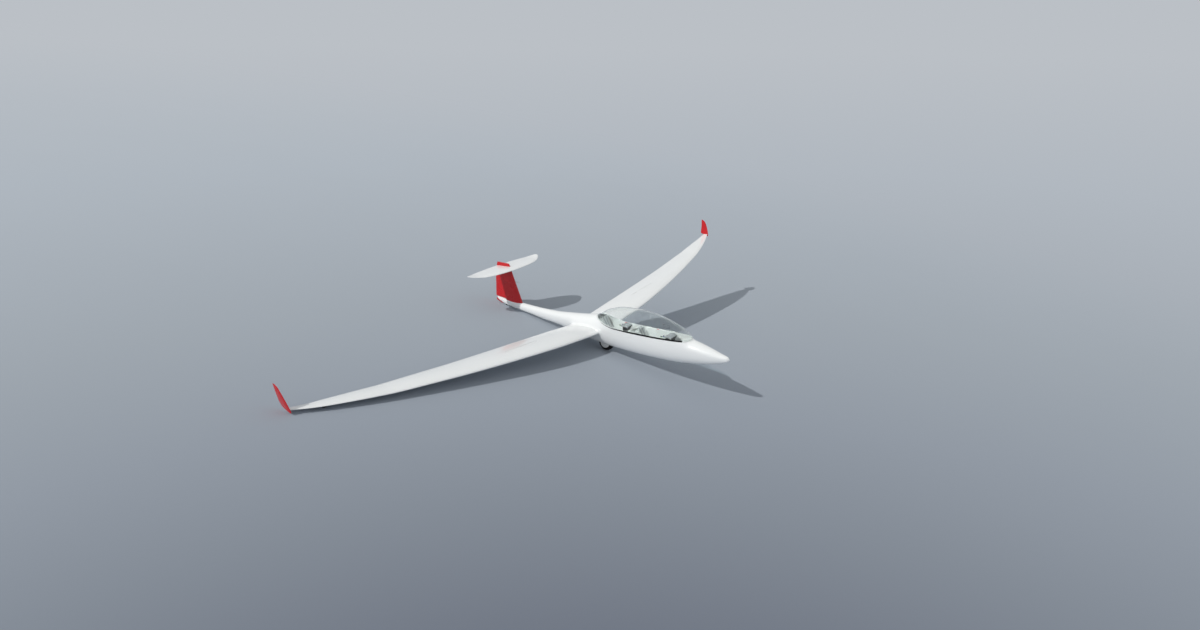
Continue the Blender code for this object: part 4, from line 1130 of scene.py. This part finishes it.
# %% Harnesses
# (y, z) of the foot and the head of each backrest
SEAT_BACKS = {"front": ((-1.49, 0.432), (-1.16, 0.960)), "rear": ((-0.11, 0.640), (0.15, 1.040))}
STRAP_WIDTH, STRAP_THICKNESS = 0.045, 0.0018
# A shoulder strap from behind the backrest to the buckle: share of the backrest's height,
# distance off it and distance from the middle
SHOULDER_RUN = [(1.02, -0.014, 0.075), (1.075, 0.020, 0.073), (1.03, 0.058, 0.070), (0.75, 0.060, 0.060),
                (0.45, 0.060, 0.050), (0.20, 0.062, 0.040)]


def webbing(points, across):
    """A flat strap through some points. `across` is the direction of its width."""
    path = []
    for k in range(len(points) - 1):
        before, here, there, after = (
            points[min(max(k + d, 0), len(points) - 1)] for d in (-1, 0, 1, 2))
        for t in spread(0, 1, 7)[:-1]:
            path.append(0.5 * (2 * here + (there - before) * t
                               + (2 * before - 5 * here + 4 * there - after) * t**2
                               + (3 * here - before - 3 * there + after) * t**3))
    path.append(points[-1])
    half = Vector(across).normalized() * STRAP_WIDTH / 2
    strap = draped([[p + half * share for share in (-1, -0.9, 0, 0.9, 1)] for p in path])
    return thicken(strap, STRAP_THICKNESS)


def straps(low, high, buckle):
    """Two shoulder straps, two lap straps and one between the legs."""
    run = high - low
    front = Vector((0, -run.z, run.y)).normalized()
    made = []
    for side in (-1, 1):
        shoulder = [low + run * share + front * off + Vector((side * x, 0, 0))
                    for share, off, x in SHOULDER_RUN]
        shoulder += [buckle + Vector((side * 0.030, 0.055, 0.016)),
                     buckle + Vector((side * 0.016, 0.018, 0.001))]
        made.append(webbing(shoulder, (1, 0, 0)))
        lap = [low + Vector((side * 0.225, -0.055, 0.010)), low + Vector((side * 0.212, -0.090, 0.034)),
               low + Vector((side * 0.120, -0.120, 0.036)), buckle + Vector((side * 0.020, 0.004, 0.0))]
        made.append(webbing(lap, (0, 1, 0.1)))
    crotch = [buckle + Vector(step) for step in ((0, -0.150, 0.012), (0, -0.080, 0.006), (0, -0.018, 0.001))]
    made.append(webbing(crotch, (1, 0, 0)))
    return smooth(joined(made))


def round_buckle(buckle):
    """A turned disc with a raised button."""
    clasp = tube(0.030, 0.016, buckle + Vector((0, 0, 0.009)), 48)
    bpy.ops.object.mode_set(mode="EDIT")
    pick(clasp, lambda p: p.z > 0.007, "FACE")
    bpy.ops.mesh.inset(thickness=0.006)
    bpy.ops.mesh.extrude_region_move(TRANSFORM_OT_translate={"value": (0, 0, 0.004)})
    bpy.ops.object.mode_set(mode="OBJECT")
    return round_off(clasp, 0.0015)


for place, ends in SEAT_BACKS.items():
    low, high = (Vector((0, *end)) for end in ends)
    buckle = low + Vector((0, -0.140, 0.040))
    set_down(straps(low, high, buckle), f"harness_{place}", finish=WEBBING)
    set_down(round_buckle(buckle), f"harness_buckle_{place}", finish=ZINC)
print("harnesses", len(SEAT_BACKS))

# %% [markdown]
# ## Instruments
#
# Gliders carry round instruments in two standard sizes, 80 mm and 57 mm. Each one is a
# bezel with a sunk black dial, twelve pale marks, a needle and a flat glass, all joined
# into one piece. A thin moulded hood shades each panel.

# %% Instruments and hoods
def facing(obj, where, way):
    """Turns an object that was modelled with its front towards +Z, and sets it down in level axes."""
    turn = Vector(way).to_track_quat("Z", "Y").to_matrix().to_4x4()
    obj.matrix_world = Matrix.Translation(where) @ turn
    return obj


def bezel(radius):
    """A short cylinder, sunk inside its rim."""
    case = tube(radius, 0.011, (0, 0, 0.0055), 48)
    bpy.ops.object.mode_set(mode="EDIT")
    pick(case, lambda p: p.z > 0.005, "FACE")
    bpy.ops.mesh.inset(thickness=radius * 0.16)
    bpy.ops.mesh.extrude_region_move(TRANSFORM_OT_translate={"value": (0, 0, -0.007)})
    bpy.ops.object.mode_set(mode="OBJECT")
    return painted(round_off(case, 0.0012), BLACK_PLASTIC)


def stroke(width, length, reach, height, turn):
    """A mark or needle on a dial, at a distance from its middle and an angle from the top."""
    place = (reach * math.sin(turn), reach * math.cos(turn), height)
    return painted(block((width, length, 0.0006), place, (0, 0, -turn)), DIAL_WHITE)


def instrument(radius, reading):
    """A round instrument with its back at z = 0. The reading is the needle's angle in degrees."""
    pieces = [bezel(radius)]
    for k in range(12):
        length = radius * (0.20 if k % 3 == 0 else 0.12)
        pieces.append(stroke(0.0014, length, radius * 0.70, 0.0042, math.radians(30 * k)))
    pieces.append(stroke(0.0018, radius * 0.62, radius * 0.24, 0.0052, math.radians(reading)))
    pieces.append(painted(tube(radius * 0.09, 0.002, (0, 0, 0.0055), 20), BLACK_PLASTIC))
    pieces.append(painted(tube(radius * 0.835, 0.0012, (0, 0, 0.0090), 48), DIAL_GLASS))
    return joined(pieces)


def radio():
    """A small flat radio with a dark display and two knobs."""
    case = painted(round_off(block((0.104, 0.036, 0.012)), 0.002), BLACK_PLASTIC)
    display = painted(block((0.060, 0.018, 0.001), (-0.012, 0, 0.0064)), DIAL_GLASS)
    knobs = []
    for x, size in ((-0.047, 0.0045), (0.036, 0.0075)):
        knobs.append(painted(round_off(tube(size, 0.010, (x, 0, 0.011), 20), 0.001), WHEEL_PAINT))
    return joined([case, display, *knobs])


def switch_row():
    """Four toggle switches, all turned up."""
    parts = []
    for k in range(4):
        parts.append(tube(0.0045, 0.004, (0.012 * k, 0, 0.002), 16))
        parts.append(tube(0.0016, 0.014, (0.012 * k, 0.002, 0.009), 10, (math.radians(-22), 0, 0)))
    return joined([painted(part, ZINC) for part in parts])


def hood(y, high, half):
    """A thin cowl over a panel, drawn down at both ends."""
    profile = ((0.060, -0.004), (0.046, 0.010), (0.020, 0.018), (-0.050, 0.028), (-0.110, 0.016),
               (-0.172, -0.010))
    rows = []
    for back, up in profile:
        row = []
        for t in spread(-1, 1, 41):
            sag = 0.050 * max(0.0, (abs(t) - 0.88) / 0.12) ** 2
            x = (half + 0.010) * math.copysign(min(abs(t) * 1.08, 1.0), t)
            row.append((x, y + back, high + up - sag))
        rows.append(row)
    return smooth(thicken(face_outwards(draped(rows)), 0.003), 50)


# y of the face's foot, its lowest and highest z, and half its width
PANEL_FACES = {"front": (-2.18, 0.72, 0.985, 0.170), "rear": (-0.665, 0.80, 0.985, 0.125)}
PANEL_LEAN = 0.02
# x, z, radius and the needle's angle in degrees
DIALS = {
    "front": [(-0.088, 0.912, 0.040, 35), (0.0, 0.912, 0.040, 200), (0.088, 0.912, 0.040, 270),
              (-0.088, 0.822, 0.029, 110), (0.0, 0.822, 0.029, 0), (0.088, 0.822, 0.029, 300)],
    "rear": [(-0.074, 0.930, 0.029, 40), (0.0, 0.930, 0.029, 215), (0.074, 0.930, 0.029, 280),
             (0.0, 0.858, 0.029, 10)],
}


def dress_panel(place):
    y, low, high, half = PANEL_FACES[place]
    out = Vector((0, high - low, -PANEL_LEAN)).normalized()

    def on_panel(x, z, lift):
        return Vector((x, y + PANEL_LEAN * (z - low) / (high - low), z)) + out * lift

    for number, (x, z, radius, reading) in enumerate(DIALS[place], 1):
        dial = facing(instrument(radius, reading), on_panel(x, z, 0.0003), out)
        set_down(dial, f"instrument_{place}_{number}")
    foot = low + 0.030
    set_down(facing(radio(), on_panel(0.0, foot, 0.0063), out), f"radio_{place}")
    set_down(facing(switch_row(), on_panel(half * 0.55, foot, 0.0002), out), f"switches_{place}")
    set_down(hood(y, high, half), f"panel_hood_{place}", finish=LEATHERETTE)


for place in PANEL_FACES:
    dress_panel(place)
print("instruments", sum(len(dials) for dials in DIALS.values()))

# %% [markdown]
# ## Sticks, levers and latches
#
# A soft bellows hides the foot of each stick, and its grip is turned with finger grooves.
# The levers on the port wall keep the colours that every glider pilot knows: blue for the
# airbrakes, green for the trim and yellow for the tow release.

# %% Controls
def lathed(profile, steps=32):
    """A closed body turned about Z, from (radius, height) pairs, bottom to top."""
    rows = []
    for radius, height in [(0.0, profile[0][1]), *profile, (0.0, profile[-1][1])]:
        rows.append([(radius * math.cos(turn), radius * math.sin(turn), height)
                     for turn in whole_turn(steps)])
    return smooth(draped(rows, closed=True), 60)


def stick_boot():
    """A rubber bellows with eight folds."""
    folds = [(0.052 - 0.0052 * k + (0.005 if k % 2 else -0.002), 0.006 + 0.0075 * k) for k in range(8)]
    return lathed([(0.056, 0.0), (0.057, 0.004), *folds, (0.0125, 0.068)])


def stick_grip():
    """A handle with four finger grooves, 6 steps of the turning tool to each."""
    grooves = [(0.0195 + 0.0022 * math.cos(2 * math.pi * k / 6), 0.010 + 0.0040 * k) for k in range(25)]
    return lathed([(0.012, 0.0), (0.019, 0.004), *grooves, (0.021, 0.112), (0.017, 0.120), (0.008, 0.1235)])


# y of each stick and the height of its top
STICKS = {"front": (-2.095, 0.690), "rear": (-0.620, 0.775)}
FLOOR_Z, GRIP_LENGTH = 0.3130, 0.1215
for place, (y, high) in STICKS.items():
    boot = stick_boot()
    boot.location = (0, y, FLOOR_Z)
    set_down(boot, f"stick_boot_{place}", finish=RUBBER)
    grip = stick_grip()
    lean = Matrix.Rotation(math.radians(3.5), 4, "X")
    grip.matrix_world = Matrix.Translation((0, y + 0.015, high - GRIP_LENGTH)) @ lean
    set_down(grip, f"stick_grip_{place}", finish=BLACK_PLASTIC)

# Lacquer, and how far towards the nose and how far up from the pilot's hand
LEVERS = {"airbrake": ("blue_lacquer", -0.02, 0.075), "trim": ("green_lacquer", -0.11, 0.035),
          "release": ("yellow_lacquer", 0.155, 0.095)}
HANDS = {"front": (-1.88, 0.700), "rear": (-0.42, 0.755)}


def lever(finish):
    """A knob on a short stem that comes out of a plate on the cockpit wall."""
    plate = painted(round_off(block((0.006, 0.110, 0.026)), 0.002), BLACK_PLASTIC)
    stem = painted(tube(0.005, 0.042, (-0.022, 0.0, 0.0), 16, SIDEWAYS), ZINC)
    bpy.ops.mesh.primitive_uv_sphere_add(segments=24, ring_count=14, radius=0.015, location=(-0.046, 0, 0))
    knob = painted(only(bpy.context.object), LACQUERS[finish])
    knob.scale = (0.85, 1.35, 0.85)
    return joined([plate, stem, smooth(knob, 60)])


for place, (y, z) in HANDS.items():
    for name, (finish, ahead, up) in LEVERS.items():
        made = lever(finish)
        wall = half_width_at(y - ahead, z + up) - WALL
        made.location = (wall - 0.005, y - ahead, z + up)
        set_down(made, f"{name}_lever_{place}")

LATCHES = {"front": -1.62, "rear": -0.50}
for side, word in SIDES:
    for place, y in LATCHES.items():
        arm = painted(round_off(block((0.008, 0.085, 0.014), (-0.010, -0.030, 0)), 0.003),
                      LACQUERS["red_lacquer"])
        pin = painted(tube(0.009, 0.014, (-0.005, 0, 0), 20, SIDEWAYS), ZINC)
        made = joined([arm, pin])
        z = along(SILL, y) + 0.024
        made.location = (side * (half_width_at(y, z) - 0.0255), y, z)
        if side < 0:
            made.rotation_euler.z = math.radians(180)
        set_down(made, f"canopy_latch_{place}_{word}", "canopy")
print("levers", len(HANDS) * len(LEVERS), "latches", len(SIDES) * len(LATCHES))

# %% [markdown]
# ## The vent window
#
# A small sliding pane on the port side lets air in. Two guide rails and a finger tab
# frame it. They follow the curve of the acrylic and stand 2 mm proud of it.

# %% Vent window
VENT_FRONT, VENT_BACK, VENT_LOW, VENT_HIGH = -2.02, -1.78, 0.115, 0.215  # heights over the joint
RAIL, STOP, PROUD = 0.008, 0.007, 0.002


def rail(front, back, lift, tall):
    """A raised strip on the port side of the acrylic."""
    rows = []
    for y in spread(front, back, 16):
        inner = side_band(y, lift, lift + tall, 3)
        outer = side_band(y, lift, lift + tall, 3, inset=-PROUD)
        rows.append([*outer, *reversed(inner)])
    return draped(rows, closed=True, ends=True)


tall = VENT_HIGH - VENT_LOW
guides = [rail(VENT_FRONT, VENT_BACK, VENT_LOW - RAIL, RAIL),
          rail(VENT_FRONT, VENT_BACK, VENT_HIGH, RAIL),
          rail(VENT_FRONT, VENT_FRONT + STOP, VENT_LOW, tall),
          rail(VENT_BACK - STOP, VENT_BACK, VENT_LOW, tall),
          rail(VENT_FRONT + 0.022, VENT_FRONT + 0.030, VENT_LOW + 0.030, tall - 0.060)]
set_down(smooth(joined(guides), 50), "vent_window_rails", "canopy", BLACK_PLASTIC)
print("vent rails", len(guides))

# %% [markdown]
# ## Wheels
#
# The tyre gets its grooves and a bead, and the wheel its bolts, its brake disc and a
# valve. The section of a ring is given once and carried round the axle.

# %% Wheels
def wheel_of_revolution(profile, centre, steps=96):
    """A closed ring about an axle along X, from (radius, across) pairs that run round its section."""
    rows = []
    for turn in [*whole_turn(steps), 0.0]:
        rows.append([(x, centre[1] + radius * math.cos(turn), centre[2] + radius * math.sin(turn))
                     for radius, x in profile])
    return smooth(draped(rows, closed=True), 35)


CROWN = 2.8  # how much the tread falls away from its middle, in metres per square metre
GROOVE_DEPTH, GROOVE_TOP, GROOVE_FOOT = 0.0050, 0.0022, 0.0012  # depth, and half its widths


def tyre_section(radius, half, rim, grooves):
    """A tyre's section, with grooves at some distances from its middle."""
    outer = [(radius - 0.0002, 0.0)]
    bottom = radius - GROOVE_DEPTH
    for at in grooves:
        low, high = at - GROOVE_TOP, at + GROOVE_TOP
        outer += [(radius - CROWN * low**2, low), (bottom, at - GROOVE_FOOT), (bottom, at + GROOVE_FOOT),
                  (radius - CROWN * high**2, high)]
    for turn in spread(0.42, math.pi / 2, 9):
        outer.append((radius - half * 0.80 * (1 - math.cos(turn)), half * math.sin(turn)))
    outer += [(radius - half * 0.80 - 0.002, half - 0.0006), ((radius + rim) / 2, half - 0.003),
              (rim + 0.016, half - 0.011), (rim + 0.012, half - 0.016), (rim + 0.0006, half * 0.66)]
    return outer + [(r, -x) for r, x in reversed(outer[1:])]


tyre = wheel_of_revolution(tyre_section(0.265, 0.080, 0.150, (0.011, 0.024)), MAIN_HUB)
set_down(tyre, "main_tyre_treaded", "main_wheel", RUBBER, ("main_tyre",))
tyre = wheel_of_revolution(tyre_section(0.095, 0.025, 0.052, (0.006,)), TAIL_HUB, 64)
set_down(tyre, "tail_tyre_treaded", "tail_wheel", RUBBER, ("tail_tyre",))

BOLT_CIRCLE, AXLE_Z = 0.029, MAIN_HUB[2]
fittings = []
for side in (-1, 1):
    for turn in whole_turn(6):
        spot = (side * 0.0635, BOLT_CIRCLE * math.cos(turn), AXLE_Z + BOLT_CIRCLE * math.sin(turn))
        fittings.append(round_off(tube(0.0062, 0.006, spot, 6, SIDEWAYS), 0.0006))
disc = [(0.104, -0.0435), (0.104, -0.0475), (0.060, -0.0475), (0.060, -0.0435)]
fittings.append(wheel_of_revolution(disc, MAIN_HUB, 64))
fittings.append(tube(0.004, 0.024, (0.050, 0.0, AXLE_Z + 0.123), 12, SIDEWAYS))
set_down(joined(fittings), "main_wheel_fittings", "main_wheel", ZINC)
print("wheel fittings", len(fittings))

# %% [markdown]
# ## Hook and probe
#
# Ahead of the wheel is the tow hook, a forged ring in a shallow dish. A probe for the
# instruments stands out from the fin, where the air is undisturbed.

# %% Hook and probe
HOOK_Y, PROBE_Z = -0.56, 1.55
belly = along(BOTTOM, HOOK_Y)
dish = painted(round_off(tube(0.034, 0.006, (0, HOOK_Y, belly + 0.0015), 40), 0.0015), ZINC)
bpy.ops.mesh.primitive_torus_add(major_radius=0.016, minor_radius=0.0042, major_segments=36,
                                 minor_segments=12, location=(0, HOOK_Y, belly - 0.006), rotation=SIDEWAYS)
ring = painted(only(bpy.context.object), ZINC)
set_down(joined([dish, smooth(ring, 60)]), "tow_hook")

front, forward = fin_front(PROBE_Z), (math.radians(90), 0, 0)
stem = tube(0.0042, 0.165, (0, front - 0.070, PROBE_Z), 20, forward)
tip = tube(0.0028, 0.045, (0, front - 0.172, PROBE_Z + 0.004), 16, (math.radians(72), 0, 0))
collar = round_off(tube(0.0095, 0.022, (0, front - 0.006, PROBE_Z), 24, forward), 0.002)
probe = joined([painted(piece, ZINC) for piece in (stem, tip, collar)])
set_down(smooth(probe), "fin_probe")
print("the hook is", round(HOOK_Y - NOSE_Y, 2), "m behind the nose, the probe", PROBE_Z, "m high")

# %% [markdown]
# ## Floor
#
# The glider stands alone on a wide pale floor. Its far part and the wall behind it glow
# with one even tone, so no horizon shows, and towards the camera the floor gets darker.
# The tone follows the angle at which the camera looks down, through six stops.

# %% Floor
EYE = Vector((-17.875, -11.744, 8.847))  # the camera's place in level axes
# Tones from steeply below the camera to the horizon, as shares of that range
FLOOR_TONES = ((0.0, "717783"), (0.20, "868D97"), (0.36, "949BA5"),
               (0.54, "A1A8B0"), (0.80, "B1B8C0"), (1.0, "BBC0C6"))
FLOOR_GAIN = 1.07  # the paint over the tone it shows, since the light on it is weaker than 1
GLOW_FROM, GLOW_FULL = 22.0, 70.0
FLOOR_RADIUS, FLOOR_RIM, WALL_HEIGHT = 100, 4, 45


def floor_finish():
    """Pale matt paint. Its tone follows the slope at which the camera looks down on it."""
    made = bpy.data.materials.new("pale_matt_floor")
    made.use_nodes = True
    tree = made.node_tree
    shader = tree.nodes["Principled BSDF"]
    shader.inputs["Roughness"].default_value = 0.95
    shader.inputs["Specular IOR Level"].default_value = 0.0
    where = add_node(tree, "TexCoord").outputs["Object"]
    line = add_node(tree, "VectorMath", {"operation": "SUBTRACT"}, {0: where, 1: PARKED @ EYE})
    line = add_node(tree, "VectorMath", {"operation": "NORMALIZE"}, {0: line.outputs["Vector"]})
    slope = add_node(tree, "VectorMath", {"operation": "DOT_PRODUCT"}, {
        0: line.outputs["Vector"], 1: PARKED.col[2].xyz})
    share = add_node(tree, "MapRange", inputs={
        "Value": slope.outputs["Value"], "From Min": -0.70, "From Max": 0.0})
    ramp = add_node(tree, "ValToRGB", inputs={"Fac": share.outputs["Result"]})
    stops = ramp.color_ramp.elements
    for _ in FLOOR_TONES[2:]:
        stops.new(0.5)
    for stop, (place, tone) in zip(stops, FLOOR_TONES):
        stop.position = place
        stop.color = linear(tone)
    mottle = add_node(tree, "TexNoise", inputs={"Vector": where, "Scale": 0.15, "Detail": 2.0})
    lift = add_node(tree, "MapRange", inputs={
        "Value": mottle.outputs["Fac"], "To Min": FLOOR_GAIN - 0.01, "To Max": FLOOR_GAIN + 0.01})
    paint = add_node(tree, "VectorMath", {"operation": "SCALE"}, {
        0: ramp.outputs["Color"], "Scale": lift.outputs["Result"]})
    feed(tree, shader, Base_Color=paint.outputs["Vector"])
    glow = add_node(tree, "Emission", inputs={"Color": ramp.outputs["Color"]})
    reach = add_node(tree, "VectorMath", {"operation": "LENGTH"}, {0: where})
    far = add_node(tree, "MapRange", {"interpolation_type": "SMOOTHSTEP"}, {
        "Value": reach.outputs["Value"], "From Min": GLOW_FROM, "From Max": GLOW_FULL})
    mixed = add_node(tree, "MixShader", inputs={
        0: far.outputs["Result"], 1: shader.outputs["BSDF"], 2: glow.outputs["Emission"]})
    feed(tree, tree.nodes["Material Output"], Surface=mixed.outputs["Shader"])
    return made


def wide_floor():
    bpy.ops.object.select_all(action="DESELECT")
    bpy.ops.mesh.primitive_circle_add(
        vertices=96, radius=FLOOR_RADIUS, fill_type="NGON", location=(0, 0, -0.0005))
    floor = only(bpy.context.object)
    bpy.ops.object.mode_set(mode="EDIT")
    bpy.ops.mesh.select_all(action="SELECT")
    bpy.ops.mesh.inset(thickness=FLOOR_RIM)
    pick(floor, lambda p: p.xy.length > FLOOR_RADIUS - 1, "EDGE")
    bpy.ops.mesh.extrude_edges_move(TRANSFORM_OT_translate={"value": (0, 0, WALL_HEIGHT)})
    bpy.ops.object.mode_set(mode="OBJECT")
    floor.name = floor.data.name = "studio_floor"
    floor.data.materials.append(floor_finish())
    floor.visible_shadow = False  # its rim would shade the corners
    return floor


wide_floor()
print("the floor is", 2 * FLOOR_RADIUS, "m across")

# %% [markdown]
# ## Light
#
# One low sun behind the starboard wing gives the shadows their edges and lights the
# rudder. A wide softbox lifts the flank that faces the camera, and a bright even sky fills
# what neither reaches.

# %% Light
def far_light(name, towards, energy, width, colour=(1.0, 1.0, 1.0)):
    """A light at infinity. `towards` points from the glider to it, and its width is in degrees."""
    bpy.ops.object.light_add(type="SUN", location=(0, 0, 20))
    made = bpy.context.object
    made.name = name
    made.rotation_euler = Vector(towards).to_track_quat("Z", "Y").to_euler()
    made.data.energy = energy
    made.data.angle = math.radians(width)
    made.data.color = colour
    return made


far_light("sun", (-1.16, 0.51, 0.90), 2.20, 0.8, (1.0, 0.985, 0.96))
far_light("softbox", (-1.0, -0.45, 0.06), 0.50, 50)
sky = bpy.data.worlds.new("even_sky")
bpy.context.scene.world = sky
sky.use_nodes = True
background = sky.node_tree.nodes["Background"]
background.inputs["Color"].default_value = (0.95, 0.98, 1.0, 1.0)
background.inputs["Strength"].default_value = 0.52
bpy.context.scene.view_settings.view_transform = "Standard"
print("lit by the sun, a softbox and", sky.name)

# %% [markdown]
# ## Camera
#
# The camera looks down over the starboard wing from in front. Its three axes are given in
# the glider's level axes, so that the glider keeps its outline however it is parked.

# %% Camera
LOOK = Vector((0.78098, 0.52472, -0.33873))
OVERHEAD = Vector((0.27371, 0.19994, 0.94080))
RIGHT = Vector((0.56138, -0.82746, 0.01252))
FOCAL_PIXELS, PICTURE_WIDTH, SENSOR = 737.55, 1200, 36
camera = bpy.data.objects.new("camera", bpy.data.cameras.new("camera"))
bpy.context.scene.collection.objects.link(camera)
turn = Matrix((RIGHT, OVERHEAD, -LOOK)).transposed().to_4x4()
camera.matrix_world = PARKED @ Matrix.Translation(EYE) @ turn
camera.data.sensor_width = SENSOR
camera.data.lens = FOCAL_PIXELS * SENSOR / PICTURE_WIDTH
camera.data.clip_end = 500
bpy.context.scene.camera = camera
print("camera stands at", [round(v, 2) for v in camera.matrix_world.translation])
